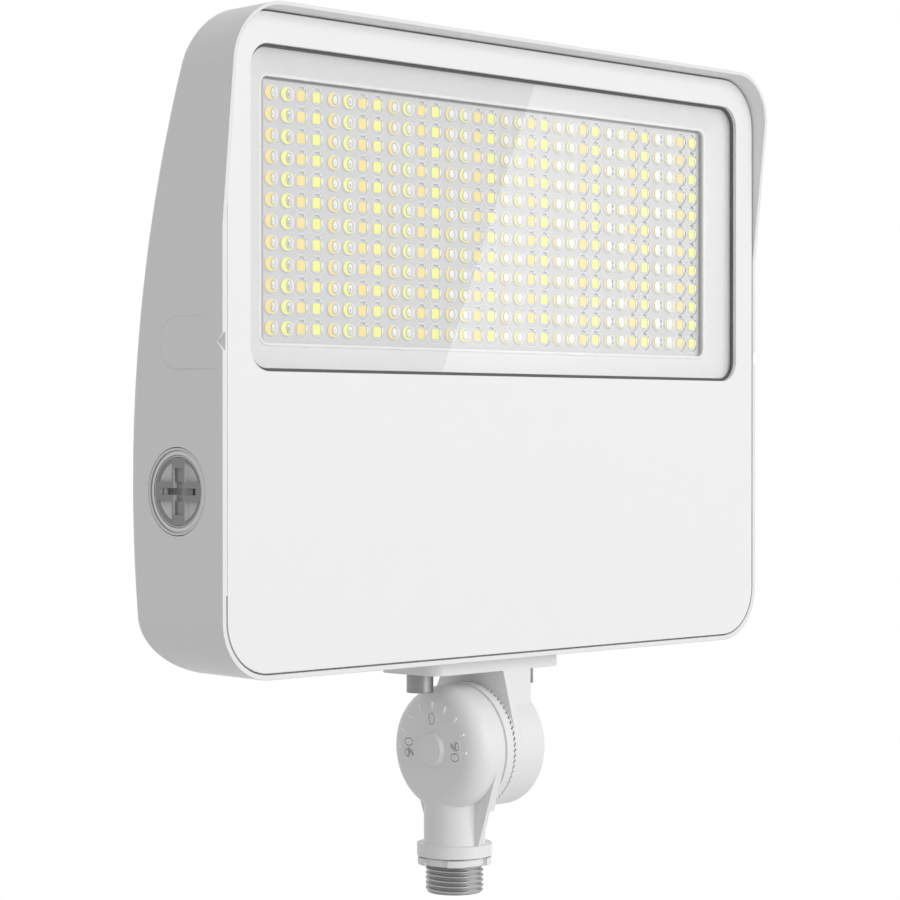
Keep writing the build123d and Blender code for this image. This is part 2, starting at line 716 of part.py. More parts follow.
def board_screws():
    """Low-headed screws that hold the board to the platform."""
    screws = []
    for x, z in board_screw_places():
        head_front = BOARD_DEPTH - BOARD_SCREW_HEAD_T
        shank_end = PLATFORM_DEPTH + BOARD_SCREW_GRIP - SEAT_GAP
        screw = disc_y(BOARD_SCREW_R, at_depth(BOARD_DEPTH), at_depth(shank_end), x, z)
        screw += disc_y(BOARD_SCREW_HEAD_R, at_depth(head_front), at_depth(BOARD_DEPTH), x, z)
        screws.append(screw)
    return screws


def led_chips(first_column):
    """One chip per place in alternate columns, standing on the board."""
    depth = (CHIP_DEPTH + BOARD_DEPTH) / 2
    chip = Box(CHIP_SIZE, CHIP_T, CHIP_SIZE)
    return [Pos(x, at_depth(depth), z) * chip for x, z in led_places(first_column)]


def driver():
    """Potted driver case with a tab at each end."""
    front = DRIVER_BACK_DEPTH - DRIVER_D
    case = Pos(DRIVER_X, DRIVER_Z) * RectangleRounded(DRIVER_W, DRIVER_H, DRIVER_R)
    body = prism_y(case, at_depth(front + DRIVER_LEDGE), at_depth(DRIVER_BACK_DEPTH))
    lid = Pos(DRIVER_X, DRIVER_Z) * RectangleRounded(
        DRIVER_W - 2 * DRIVER_R, DRIVER_H - 2 * DRIVER_R, DRIVER_R
    )
    body += prism_y(lid, at_depth(front), at_depth(front + DRIVER_LEDGE))
    tab_w = DRIVER_W + 2 * DRIVER_TAB_W
    tab = Pos(DRIVER_X, DRIVER_Z) * Rectangle(tab_w, DRIVER_H - 2 * DRIVER_R)
    body += prism_y(tab, at_depth(DRIVER_BACK_DEPTH - DRIVER_TAB_T), at_depth(DRIVER_BACK_DEPTH))
    for x, z in driver_screw_places():
        front_y = at_depth(DRIVER_BACK_DEPTH - DRIVER_TAB_T)
        body -= disc_y(DRIVER_SCREW_R + RUN_GAP, front_y, at_depth(DRIVER_BACK_DEPTH), x, z)
    return body


def driver_screws():
    """Four screws through the driver's tabs."""
    screws = []
    for x, z in driver_screw_places():
        tab_front = DRIVER_BACK_DEPTH - DRIVER_TAB_T
        shank_end = DRIVER_BACK_DEPTH + DRIVER_SCREW_GRIP - SEAT_GAP
        screw = disc_y(DRIVER_SCREW_R, at_depth(tab_front), at_depth(shank_end), x, z)
        head_front = tab_front - DRIVER_SCREW_HEAD_T
        screw += disc_y(DRIVER_SCREW_HEAD_R, at_depth(head_front), at_depth(tab_front), x, z)
        screws.append(screw)
    return screws


def side_plug():
    """Screw-in plug: ringed flange, cup and a cross-shaped drive block with its slots."""
    wall_x = LEFT_X + head_size(PLUG_DEPTH)
    flange_in = wall_x + PLUG_FLANGE_T
    body = disc_x(PLUG_FLANGE_R, wall_x, flange_in, PLUG_Y, PLUG_Z)
    lip = disc_x(PLUG_LIP_R, wall_x - PLUG_LIP_RISE, wall_x, PLUG_Y, PLUG_Z)
    rim = lip.edges().filter_by(GeomType.CIRCLE).sort_by(Axis.X)[0]
    body += fillet(rim, PLUG_LIP_FILLET)
    body += disc_x(PLUG_NECK_R, flange_in, wall_x + PLUG_NECK_L, PLUG_Y, PLUG_Z)
    cup_front = wall_x - PLUG_LIP_RISE
    cup_floor = cup_front + PLUG_CUP_DEPTH
    cup = disc_x(PLUG_CUP_R, cup_front, cup_floor, PLUG_Y, PLUG_Z)
    arms = Rectangle(2 * PLUG_CUP_R, PLUG_CROSS_W) + Rectangle(PLUG_CROSS_W, 2 * PLUG_CUP_R)
    cross_front = cup_front + PLUG_CROSS_DROP
    cross = prism_x(Pos(PLUG_Y, PLUG_Z) * arms, cross_front, cup_floor)
    body -= cup - cross
    slots = Rectangle(PLUG_SLOT_L, PLUG_SLOT_W) + Rectangle(PLUG_SLOT_W, PLUG_SLOT_L)
    body -= prism_x(Pos(PLUG_Y, PLUG_Z) * slots, cross_front, cross_front + PLUG_SLOT_DEPTH)
    return body


def plug_ring():
    """Sealing ring under the plug's flange."""
    x_low = LEFT_X + head_size(PLUG_DEPTH) + PLUG_FLANGE_T + SEAT_GAP
    x_high = LEFT_X + plug_seat_depth()
    return ring_x(PLUG_SEAT_R - RUN_GAP, PLUG_NECK_R + RUN_GAP, x_low, x_high, PLUG_Y, PLUG_Z)


def selector_face_x():
    """X of the selector board's face that carries the switches."""
    return LEFT_X + SELECTOR_SETBACK


def selector_board():
    """Small board on two posts behind the plug."""
    x_low = selector_face_x()
    plan = Pos(PLUG_Y, PLUG_Z) * Rectangle(SELECTOR_BOARD_W, SELECTOR_BOARD_H)
    body = prism_x(plan, x_low, x_low + SELECTOR_BOARD_T)
    for sign in (-1, 1):
        z = PLUG_Z + sign * SELECTOR_POST_SPACING / 2
        body -= disc_x(SELECTOR_SCREW_R + RUN_GAP, x_low, x_low + SELECTOR_BOARD_T, PLUG_Y, z)
    return body


def selector_screws():
    """Two screws that hold the selector board to its posts."""
    screws = []
    for sign in (-1, 1):
        z = PLUG_Z + sign * SELECTOR_POST_SPACING / 2
        head_x = selector_face_x() + SELECTOR_BOARD_T
        tip_x = selector_face_x() - SELECTOR_SCREW_GRIP + SEAT_GAP
        screw = disc_x(SELECTOR_SCREW_R, tip_x, head_x, PLUG_Y, z)
        screw += disc_x(SELECTOR_SCREW_HEAD_R, head_x, head_x + SELECTOR_SCREW_HEAD_T, PLUG_Y, z)
        screws.append(screw)
    return screws


def switch_y(index):
    """Y of a switch: 0 is the colour switch, 1 the power switch."""
    return PLUG_Y + (index - 0.5) * SWITCH_SPACING


def switch_bodies():
    """The two slide switch cases, each with its slot."""
    cases = []
    for index in (0, 1):
        x_high = selector_face_x()
        x_low = x_high - SWITCH_T
        plan = Pos(switch_y(index), PLUG_Z) * Rectangle(SWITCH_W, SWITCH_H)
        case = prism_x(plan, x_low, x_high)
        slot_w = SLIDER_W + 2 * TURN_GAP
        slot_h = SLIDER_H + 2 * SLIDER_STEP + 2 * TURN_GAP
        slot = Pos(switch_y(index), PLUG_Z) * Rectangle(slot_w, slot_h)
        case -= prism_x(slot, x_low, x_high - SWITCH_WALL)
        cases.append(case)
    return cases


def slider(index):
    """A three-position slider, resting in its middle position."""
    x_high = selector_face_x() - SWITCH_WALL - TURN_GAP
    plan = Pos(switch_y(index), PLUG_Z) * Rectangle(SLIDER_W, SLIDER_H)
    return prism_x(plan, x_high - SLIDER_T, x_high)


def flange_gasket():
    """Thin gasket between the bracket's flange and the housing."""
    body = prism_z(flange_plan(), FLANGE_Z + FLANGE_T, HEAD_Z)
    for x in BRACKET_X:
        body -= disc_z(BRACKET_BOLT_R + RUN_GAP, FLANGE_Z + FLANGE_T, HEAD_Z, x, FLANGE_Y)
    body -= disc_z(bushing_r() + RUN_GAP, FLANGE_Z + FLANGE_T, HEAD_Z, CHANNEL_X, 0.0)
    return body


def wire_bushing():
    """Flanged rubber bushing that guards the wires where they enter the housing."""
    z_low = FLANGE_Z + FLANGE_T
    z_high = mount_pad_top() + BUSHING_RISE
    body = disc_z(bushing_r(), z_low, z_high, CHANNEL_X, 0.0)
    lip_low = mount_pad_top() + SEAT_GAP
    lip_plan = Pos(CHANNEL_X, 0) * Circle(bushing_r() + BUSHING_LIP)
    body += prism_z(lip_plan, lip_low, lip_low + BUSHING_LIP)
    body -= disc_z(CHANNEL_D / 2 - RUN_GAP, z_low, z_high, CHANNEL_X, 0.0)
    return body


def bracket_bolts():
    """Two socket-head bolts that hold the bracket under the housing."""
    bolts = []
    for x in BRACKET_X:
        z_head = FLANGE_Z - BRACKET_BOLT_HEAD_T
        bolt = disc_z(BRACKET_BOLT_R, FLANGE_Z, HEAD_Z + BRACKET_BOLT_GRIP - SEAT_GAP, x, FLANGE_Y)
        bolt += disc_z(BRACKET_BOLT_HEAD_R, z_head, FLANGE_Z, x, FLANGE_Y)
        socket = Pos(x, FLANGE_Y) * RegularPolygon(BRACKET_BOLT_SOCKET_R, 6)
        bolt -= prism_z(socket, z_head, z_head + BRACKET_BOLT_SOCKET_DEPTH)
        bolts.append(bolt)
    return bolts


def tangent_point(radius, width, reach):
    """Where a line from this corner, which lies on +Y, touches a circle about the pivot."""
    lean = math.atan2(width, abs(reach))
    swing = math.acos(radius / math.hypot(width, reach))
    level = math.copysign(radius * math.cos(lean + swing), reach)
    return radius * math.sin(lean + swing), level


def teardrop(radius, front, rear, reach):
    """A circle about the pivot with tangents to the ends of a level edge at this reach."""
    front_y, front_z = tangent_point(radius, front, reach)
    points = [(0, 0), tangent_point(radius, rear, reach), (rear, reach), (-front, reach), (-front_y, front_z)]
    return Circle(radius) + make_face(Polyline(*points, close=True))


def tooth_grooves(face_x, inward):
    """Radial V grooves cut into a drum face, one per tooth, turned a little out of line."""
    tip = (face_x + inward * TOOTH_GROOVE_DEPTH, 0.0)
    half = TOOTH_GROOVE_W / 2
    lead = -inward * TOOTH_GROOVE_DEPTH
    section = make_face(
        Polyline(
            tip,
            (face_x, half),
            (face_x + lead, half),
            (face_x + lead, -half),
            (face_x, -half),
            close=True,
        )
    )
    length = RING_R - TOOTH_INNER_R + TOOTH_GROOVE_W
    groove = extrude(Plane.XY.offset(TOOTH_INNER_R) * section, amount=length)
    turns = [i * 360.0 / TEETH - inward * TOOTH_PHASE for i in range(TEETH)]
    return [Pos(0, 0, AXIS_Z) * Rot(turn, 0, 0) * groove for turn in turns]


def lower_arm():
    """Cast arm: collar, hollow stem, side ribs, rounded drum half and its ring of teeth."""
    face_x = MID_X
    drum_x = face_x - ARM_DRUM_T
    drum = disc_x(ARM_DRUM_R, drum_x, face_x - ARM_RING_T)
    rim = drum.edges().filter_by(GeomType.CIRCLE).sort_by(Axis.X)[0]
    body = fillet(rim, ARM_DRUM_FILLET)
    body += disc_x(RING_R, face_x - ARM_RING_T, face_x)
    body += arm_boss(drum_x)

    # Stem, collar and the ribs that run tangent from the drum to the collar
    body += disc_z(STEM_R, STEM_Z, AXIS_Z)
    body += disc_z(COLLAR_R, COLLAR_Z, STEM_Z)
    outline = Pos(0, AXIS_Z) * teardrop(ARM_DRUM_R, RIB_FRONT, RIB_REAR, -STEM_RISE)
    body += prism_x(outline, -RIB_T / 2, RIB_T / 2)
    shoulder = prism_x(outline, -RIB_T / 2, face_x - ARM_RING_T)
    keep = Pos(0, 0, AXIS_Z - RIB_SHOULDER_DROP / 2) * Box(4 * ARM_DRUM_R, 4 * ARM_DRUM_R, RIB_SHOULDER_DROP)
    body += shoulder & keep

    body -= disc_x(RING_R + STEM_RELIEF, face_x, face_x + STEM_R)

    # Wire way: nipple socket, stem bore and the round cavity about the centre post
    body -= disc_z(SPIGOT_R + PRESS_GAP, COLLAR_Z, nipple_top() + SEAT_GAP)
    body -= disc_z(ARM_BORE_R, nipple_top(), AXIS_Z - POST_R)
    cavity = ring_x(CAVITY_R, POST_R, drum_x + CAVITY_WALL, face_x)
    body -= cavity
    body -= disc_x(PIVOT_R + RUN_GAP, face_x - PIVOT_THREAD - SEAT_GAP, face_x)
    seal_inner = KNUCKLE_SEAL_R - KNUCKLE_SEAL_W
    body -= ring_x(KNUCKLE_SEAL_R, seal_inner, face_x - KNUCKLE_SEAL_T, face_x)
    return body.cut(*tooth_grooves(face_x, -1))


def arm_boss(drum_x):
    """Low round boss over the blind end of the pivot hole."""
    low = Plane.YZ.offset(drum_x) * Pos(0, AXIS_Z) * Circle(BOSS_R)
    high = Plane.YZ.offset(drum_x - BOSS_RISE) * Pos(0, AXIS_Z) * Circle(BOSS_TOP_R)
    return loft([high, low], ruled=True)


def nipple_top():
    """Height of the nipple's upper end, inside the stem."""
    return COLLAR_Z + SPIGOT_L


def nipple():
    """Threaded tube with a flat along its front, the engaged radius in the nut and a spigot."""
    body = disc_z(THREAD_R, -THREAD_REACH, 0.0)
    end = body.edges().filter_by(GeomType.CIRCLE).sort_by(Axis.Z)[0]
    body = chamfer(end, THREAD_CHAMFER)
    body -= Pos(0, -THREAD_FLAT - THREAD_R, -THREAD_REACH / 2) * Box(2 * THREAD_R, 2 * THREAD_R, THREAD_REACH)
    body += disc_z(ENGAGED_R, 0.0, COLLAR_Z - SEAT_GAP)
    body += disc_z(SPIGOT_R, COLLAR_Z - SEAT_GAP, nipple_top())
    return body - disc_z(WIRE_BORE_R, -THREAD_REACH, nipple_top())


def locknut():
    """Flat ring nut with wide shallow notches between its lobes."""
    body = disc_z(NUT_R, 0.0, NUT_T) - disc_z(ENGAGED_R + RUN_GAP, 0.0, NUT_T)
    lobes = NUT_R + SEAT_GAP
    rim = Circle(lobes) - Circle(NUT_R - NUT_NOTCH_DEPTH)
    for i in range(NUT_LOBES):
        rim -= nut_sector(NUT_LOBE_START + i * 360.0 / NUT_LOBES, NUT_LOBE_TURN, lobes * 2)
    return body - prism_z(rim, 0.0, NUT_T)


def nut_sector(middle, turn, reach):
    """A wedge from the nut's axis that covers one lobe."""
    angles = [math.radians(middle + sign * turn / 2) for sign in (-1, 1)]
    points = [(reach * math.cos(angle), reach * math.sin(angle)) for angle in angles]
    return make_face(Polyline((0, 0), *points, close=True))


def seal_washer():
    """Rubber washer between the locknut and the collar."""
    z_low = NUT_T + SEAT_GAP
    return disc_z(SEAL_R, z_low, COLLAR_Z) - disc_z(ENGAGED_R + RUN_GAP, z_low, COLLAR_Z)


def bracket():
    """Cast bracket: flange, neck, flared web and the second drum half with its teeth."""
    face_x = MID_X + TOOTH_GAP
    web_x = face_x + BRACKET_RING_T
    drum_end = MID_X + BRACKET_DRUM_T
    drum = disc_x(BRACKET_DRUM_R, web_x, drum_end)
    rim = drum.edges().filter_by(GeomType.CIRCLE).sort_by(Axis.X)[-1]
    body = fillet(rim, BRACKET_DRUM_FILLET)
    body += disc_x(RING_R, face_x, web_x)
    outline = Pos(0, AXIS_Z) * teardrop(RING_R, FLANGE_FRONT, FLANGE_REAR, FLANGE_RISE)
    body += prism_x(outline, web_x, web_x + WEB_T)
    neck_x = (web_x + MID_X + NECK_T) / 2
    neck = Box(MID_X + NECK_T - web_x, FLANGE_D, FLANGE_RISE)
    body += Pos(neck_x, FLANGE_Y, AXIS_Z + FLANGE_RISE / 2) * neck
    body += prism_z(flange_plan(), FLANGE_Z, FLANGE_Z + FLANGE_T)

    # Pivot hole, head recess and the wire way up through the neck
    head_seat = pivot_seat_x()
    body -= disc_x(PIVOT_R + RUN_GAP, face_x, head_seat)
    body -= disc_x(PIVOT_HEAD_R + TURN_GAP, head_seat, drum_end)
    body -= ring_x(CAVITY_R, POST_R, face_x, drum_end - CAVITY_WALL - PIVOT_HEAD_T)
    channel_low = AXIS_Z + PIVOT_HEAD_R + TURN_GAP + RECESS_WALL
    body -= disc_z(CHANNEL_D / 2, channel_low, FLANGE_Z + FLANGE_T, CHANNEL_X, 0.0)
    for x in BRACKET_X:
        body -= disc_z(BRACKET_BOLT_R + RUN_GAP, FLANGE_Z, FLANGE_Z + FLANGE_T, x, FLANGE_Y)
    return body.cut(*tooth_grooves(face_x, 1))


def pivot_seat_x():
    """X of the recess floor that the pivot bolt's washer bears on."""
    return MID_X + BRACKET_DRUM_T - PIVOT_HEAD_T - PIVOT_WASHER_T - TURN_GAP


def pivot_washer():
    """Spring washer under the pivot bolt's head."""
    x_low = pivot_seat_x() + TOOTH_GAP
    x_high = x_low + PIVOT_WASHER_T - TOOTH_GAP
    return ring_x(PIVOT_HEAD_R, PIVOT_R + RUN_GAP, x_low, x_high)


def pivot_bolt():
    """Socket-head bolt through the bracket into the arm's centre post."""
    head_x = pivot_seat_x() + PIVOT_WASHER_T
    body = disc_x(PIVOT_R, MID_X - PIVOT_THREAD, head_x)
    body += disc_x(PIVOT_HEAD_R, head_x, head_x + PIVOT_HEAD_T)
    socket = Pos(0, AXIS_Z) * RegularPolygon(PIVOT_SOCKET_R, 6)
    socket_x = head_x + PIVOT_HEAD_T - PIVOT_SOCKET_DEPTH
    body -= prism_x(socket, socket_x, head_x + PIVOT_HEAD_T)
    return body


def knuckle_seal():
    """Flat rubber ring in the arm's groove, round the wire cavity."""
    inner = KNUCKLE_SEAL_R - KNUCKLE_SEAL_W + RUN_GAP
    x_low = MID_X - KNUCKLE_SEAL_T
    return ring_x(KNUCKLE_SEAL_R - RUN_GAP, inner, x_low, MID_X - RUN_GAP)


def assembly():
    """Every node with its solids."""
    return {
        "rear_housing": rear_housing(),
        "front_cover": front_cover(),
        "glass_gasket": glass_gasket(),
        "glass_lens": glass_lens(),
        "cover_gasket": cover_gasket(),
        "cover_screws": cover_screws(),
        "reflector_frame": reflector_frame(),
        "lens_plate": lens_plate(),
        "led_board": led_board(),
        "board_screws": board_screws(),
        "leds_warm": led_chips(0),
        "leds_cool": led_chips(1),
        "driver": driver(),
        "driver_screws": driver_screws(),
        "side_plug": side_plug(),
        "plug_ring": plug_ring(),
        "selector_board": selector_board(),
        "selector_screws": selector_screws(),
        "switch_bodies": switch_bodies(),
        "colour_slider": slider(0),
        "power_slider": slider(1),
        "flange_gasket": flange_gasket(),
        "wire_bushing": wire_bushing(),
        "bracket_bolts": bracket_bolts(),
        "bracket": bracket(),
        "lower_arm": lower_arm(),
        "pivot_bolt": pivot_bolt(),
        "pivot_washer": pivot_washer(),
        "knuckle_seal": knuckle_seal(),
        "nipple": nipple(),
        "seal_washer": seal_washer(),
        "locknut": locknut(),
    }


def main():
    os.makedirs("parts", exist_ok=True)
    for name, shape in assembly().items():
        solids = shape if isinstance(shape, list) else [shape]
        group = Compound(children=[s for item in solids for s in item.solids()])
        export_step(group, f"parts/{name}.step")


main()
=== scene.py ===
import math
from collections import namedtuple

import bpy
import numpy as np
from mathutils import Matrix, Vector


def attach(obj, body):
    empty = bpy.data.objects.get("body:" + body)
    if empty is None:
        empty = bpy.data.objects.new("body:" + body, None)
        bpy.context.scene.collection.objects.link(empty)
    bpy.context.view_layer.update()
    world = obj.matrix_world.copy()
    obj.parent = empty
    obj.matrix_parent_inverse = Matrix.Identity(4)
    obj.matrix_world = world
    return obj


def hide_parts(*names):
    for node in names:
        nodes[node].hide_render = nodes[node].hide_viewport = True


# Sizes are in millimetres in the CAD frame and become metres when a mesh is made
MM = 0.001
TURN = 2 * math.pi
MID_X = 6.9
FRONT_Y = -24.1

# Nipple: a thread with a flat along its front, and the plain shank inside the collar
THREAD_R, THREAD_PITCH, THREAD_DEPTH = 10.48, 1.8143, 1.05
THREAD_LOW, THREAD_ROWS = -10.4, 81
CREST_SHARE, FLANK_SHARE = 0.24, 0.66
CHAMFER = 0.9
THREAD_FLAT_Y, FLAT_FACING = 9.62, 0.2
NUT_TOP, NIPPLE_TOP = 2.9, 15.0
CORE_R, SHANK_R, BORE_R = 10.2, 8.6, 6.6
NIPPLE_SIDES = 180

# Light panel behind the window, and its lenses in rows
WINDOW_Z = 229.5
BOARD_DEPTH = 10.3
BOARD_Y = FRONT_Y + BOARD_DEPTH
PANEL_HALF_W, PANEL_HALF_H = 116.2, 44.0
COLUMNS, ROWS = 32, 12
PITCH_X, PITCH_Z = 7.155, 7.087
ROWS_SHIFT = 0.15
ROWS_X = MID_X - ROWS_SHIFT

# Shaded strips where the panel meets the frame's opening
STRIP_HALF_W, LINE_HALF_H = 1.1, 0.4
STRIP_LEFT_IN, STRIP_RIGHT_IN, STRIP_DARK_IN = 1.5, 1.8, 0.2
STRIP_LIFT, LINE_LIFT = 0.03, 0.04

# Steps round the panel's outlines, and how a band thins out at its ends
OVAL_SIDES, LENS_SIDES, EMITTER_SIDES, SPOT_SIDES, BAND_STEPS, DOME_RINGS = 20, 24, 28, 12, 14, 3
BAND_TIP, BAND_BULGE = 0.08, 0.6

# Kinds of the panel's faces, in the order of their skins: the panel, the two emitters, painted grey shade
# at rims and edges, painted highlights, painted dark shade and reflections, the lenses' pale face with
# painted light rings, and painted soft shade
PANEL, WARM, COOL, RIM_SHADE, GLEAM, SHADE, PALE, SOFT_SHADE = range(8)

# Tall lens: layers one above the other, and shares that change from the left column to the right; its
# shade, rim, gleam, stroke and spots are painted shade, highlights and reflections
LAYER_FIRST, LAYER_STEP = 0.02, 0.03
DOME_RIGHT, DOME_UP = 1.0, 0.15
DOME_HALF_W, DOME_WIDER, DOME_HALF_H = 2.85, 0.2, 2.5
DOME_SHADE_LEFT, DOME_SHADE_DOWN, DOME_SHADE_OUT = 0.75, 0.45, 0.1
EMITTER_INSET, EMITTER_FLAT = 0.05, 0.3
BOW_LEAST, BOW_MORE, BOW_FADE = 0.7, 3.9, 3.2
INNER_LEAST, INNER_SPILL, INNER_UP, INNER_SHARE = 1.0, 0.03, 0.1, 0.86
GLEAM_RIGHT, GLEAM_MORE, GLEAM_FADE = 0.62, 1.05, 2.4
GLEAM_HALF_W, GLEAM_WIDER, GLEAM_WIDER_BY = 0.85, 0.95, 0.8
GLEAM_HALF_H, GLEAM_TALLER, GLEAM_TALLER_BY = 1.5, 0.95, 2
GLEAM_RISE, GLEAM_RIM_W, GLEAM_RIM_H, GLEAM_RIM_MOST = 0.3, 0.24, 0.34, 2.4
STROKE_IN, STROKE_OUT, STROKE_START, STROKE_END = 0.72, 0.12, -38, 52
SPOT_FROM, SPOT_RIGHT = 0.7, 0.35
FADE_UNTIL, FADE_WARM, FADE_LIFT = 0.4, 0.35, 0.5
FADE_LEFT, FADE_DOWN, FADE_HALF_W, FADE_HALF_H, FADE_LEAST = 0.2, 0.05, 0.5, 0.9, 0.05

# Spots at the right of a tall lens, from the edge of its painted gleam: painted dark reflections on warm
# lenses and an orange spot on cool ones
Patch = namedtuple("Patch", "kind right up lift half_w half_h rise count")
SPOT_LAYER = 7
SPOT_LIFT = LAYER_FIRST + SPOT_LAYER * LAYER_STEP
WARM_SPOT = Patch(WARM, right=0.05, up=0.3, lift=SPOT_LIFT, half_w=0.55, half_h=1.1, rise=0.0, count=14)
DARK_SPOTS = (
    Patch(SHADE, right=0.0, up=1.1, lift=SPOT_LIFT, half_w=0.28, half_h=0.7, rise=0.0, count=SPOT_SIDES),
    Patch(SHADE, right=0.1, up=-0.75, lift=SPOT_LIFT, half_w=0.28, half_h=0.55, rise=0.0, count=SPOT_SIDES),
)

# Low lens: stretches of rings round its middle in painted light and shade, the square emitter, and painted
# bright strokes with grey marks beside them
Band = namedtuple("Band", "kind lift inner outer wider start end steps")
LOW_RIGHT = 0.1
LOW_RING = Band(PALE, lift=0.02, inner=3.1, outer=3.45, wider=0.3, start=0, end=360, steps=24)
LOW_LEFT = Band(SOFT_SHADE, lift=0.04, inner=2.72, outer=3.05, wider=0.1, start=150, end=310, steps=BAND_STEPS)
LOW_TOP = Band(SHADE, lift=0.06, inner=2.9, outer=3.15, wider=0.25, start=35, end=110, steps=BAND_STEPS)
LOW_SIDE = Band(SOFT_SHADE, lift=0.06, inner=2.9, outer=3.05, wider=0.35, start=-85, end=40, steps=BAND_STEPS)
LOW_TOP_ROW_START = 5
LOW_DARK_FROM = 0.6
SQUARE_HALF_W, SQUARE_HALF_H, SQUARE_CORNER = 1.8, 1.75, 0.35
SQUARE_UP, SQUARE_LIFT = 0.1, 0.08
LOW_PATCHES = (
    Patch(SOFT_SHADE, right=2.42, up=0.2, lift=0.1, half_w=0.62, half_h=1.6, rise=0.0, count=16),
    Patch(GLEAM, right=2.42, up=0.3, lift=0.13, half_w=0.46, half_h=1.4, rise=0.2, count=16),
    Patch(GLEAM, right=1.75, up=2.55, lift=0.1, half_w=0.3, half_h=0.45, rise=0.1, count=10),
    Patch(SOFT_SHADE, right=0.95, up=2.5, lift=0.09, half_w=0.5, half_h=0.3, rise=0.0, count=10),
)

# Bead round the panel's opening, and the lip in the gap at the left rim
BEAD_R, BEAD_SIDES, BEAD_STEPS = 0.55, 8, 4
BEAD_OUT, BEAD_CORNER_R = 0.4, 3.4
BEAD_LEFT, BEAD_LIFT = 0.55, 1.9
BEAD_X, BEAD_Y = ROWS_X - BEAD_LEFT, BOARD_Y - BEAD_LIFT
SEAM_INSET, SEAM_DEPTH, SEAM_T = 26.0, 0.12, 0.8
SEAM_FAR, SEAM_NEAR = 0.52, 0.06

# Kinds of the plug's faces, in the order of their skins: plain grey, painted light, a darker grey with
# painted shade in grooves, and painted deep shade
PLUG_BAND, PLUG_PAINTED_LIGHT, PLUG_CROSS, PLUG_DEEP_SHADE = range(4)

# Plug: the CAD plug stands PLUG_PROUD out of the wall, and heights count from the wall
PLUG_Y, PLUG_Z = -1.1, 136.7
PLUG_PROUD, PLUG_BACK_GAP, PLUG_SIDES = 0.8, 0.02, 96
PLUG_MID_R, PLUG_NECK_R, PLUG_FLANGE_R, PLUG_FLANGE_BACK = 0.2, 12.95, 14.35, -1.6

# Radius, height and kind of each ring from the flange's edge over the face into the cup; the darker rings
# paint shade in the grooves and on the cup's wall, the lit rings paint light on the lip's crest and the
# cup's floor
PLUG_PROFILE = (
    (PLUG_FLANGE_R, -0.1, PLUG_BAND), (14.25, 0.0, PLUG_BAND), (13.6, -0.15, PLUG_BAND),
    (13.5, -0.55, PLUG_CROSS), (13.35, -0.6, PLUG_CROSS),
    (13.2, -0.5, PLUG_PAINTED_LIGHT), (12.9, -0.42, PLUG_PAINTED_LIGHT), (12.05, -0.42, PLUG_PAINTED_LIGHT),
    (11.98, -0.7, PLUG_DEEP_SHADE), (11.82, -0.7, PLUG_DEEP_SHADE),
    (11.76, -0.5, PLUG_BAND), (11.5, -0.5, PLUG_BAND),
    (11.42, -0.62, PLUG_CROSS), (9.95, -1.0, PLUG_CROSS),
    (9.7, -1.3, PLUG_BAND), (9.3, -2.2, PLUG_PAINTED_LIGHT), (PLUG_MID_R, -2.3, PLUG_PAINTED_LIGHT),
)
SEAT_PROFILE = ((14.7, 0.0), (14.75, 0.05), (15.05, 0.05), (15.1, 0.0))

# Drive cross of the plug: reach of its arms, the slots and pits in them, and where painted shade starts on
# the recess floors
CROSS_REACH, ARM_HALF_Y, ARM_HALF_Z = 11.1, 3.2, 3.15
SLOT_HALF_Z, SLOT_REACH = 1.1, 6.8
PIT_FROM, PIT_TO = 7.1, 8.6
RECESS_HALF_Y, RECESS_REACH, RECESS_DARK_FROM = 2.4, 7.65, 0.9
CROSS_FACE, CUP_FLOOR, SLOT_FLOOR, PIT_FLOOR, RECESS_FLOOR = -0.6, -2.25, -2.2, -1.6, -1.3

# Tilt scale on the knuckle's left drum
AXIS_Z = 42.0
DRUM_REACH = 18.5
DRUM_FACE_X = MID_X - DRUM_REACH
TICKS, TICK_STEP, TICK_R = 9, 22.5, 15.9
TICK_HALF_W, TICK_HALF_L, TICK_PROUD, TICK_SUNK = 0.32, 1.15, 0.4, 0.3
DIGIT_SIZE, DIGIT_WIDE = 6.6, 1.2
DIGIT_STROKE, DIGIT_PROUD = 0.18, 0.25
INLAY_STROKE, INLAY_PROUD = -0.06, 0.28
ZERO_UP, NINETY_OUT = 10.8, 11.3

# Shader settings; the height of a bump is in metres
RELIEF = 0.0001
GLASS_IOR = 1.5
EDGE_SAMPLES = 6
NOISE_ROUGH = 0.55
NOISE_LOW, NOISE_HIGH = 0.3, 0.7
GLOSS_FINER = 4
GRAIN_DETAIL, STREAK_DETAIL = 2.0, 4.0
STREAK_SPREAD, STREAK_BUMP = 0.06, 0.08
MIX_FACTOR, MIX_FIRST, MIX_SECOND, MIX_RESULT = 0, 6, 7, 2
WHITE = (1.0, 1.0, 1.0, 1.0)

# Stage, in metres and watts
AMBIENT, SHOWN = 0.54, 1.0
FLOOR_HALF, FLOOR_Z, FLOOR_TONE = 30.0, -1.0, 0.75
KEY_PLACE, KEY_TARGET, KEY_SIZE, KEY_POWER = (0.6, -3.2, 1.0), (0, 0, 0.15), 2.4, 54.5
CARD_Y, CARD_TOP, CARD_LOW = -2.0, 0.86, 0.10
CARD_LEFT_TOP, CARD_LEFT_LOW, CARD_RIGHT = 2.30, 1.95, 3.6
CARD_FADE_FROM, CARD_FADE_TO, CARD_BRIGHT, CARD_DIM = 2.2, 2.75, 2.8, 1.4

# Camera fitted to the photograph: place in metres, turns in degrees, sensor and lens in millimetres
CAMERA_PLACE = (-0.70659, -0.67767, 0.15635)
CAMERA_YAW, CAMERA_DOWN = 46.101, 0.392
CAMERA_SENSOR, CAMERA_LENS = 36.0, 108.06

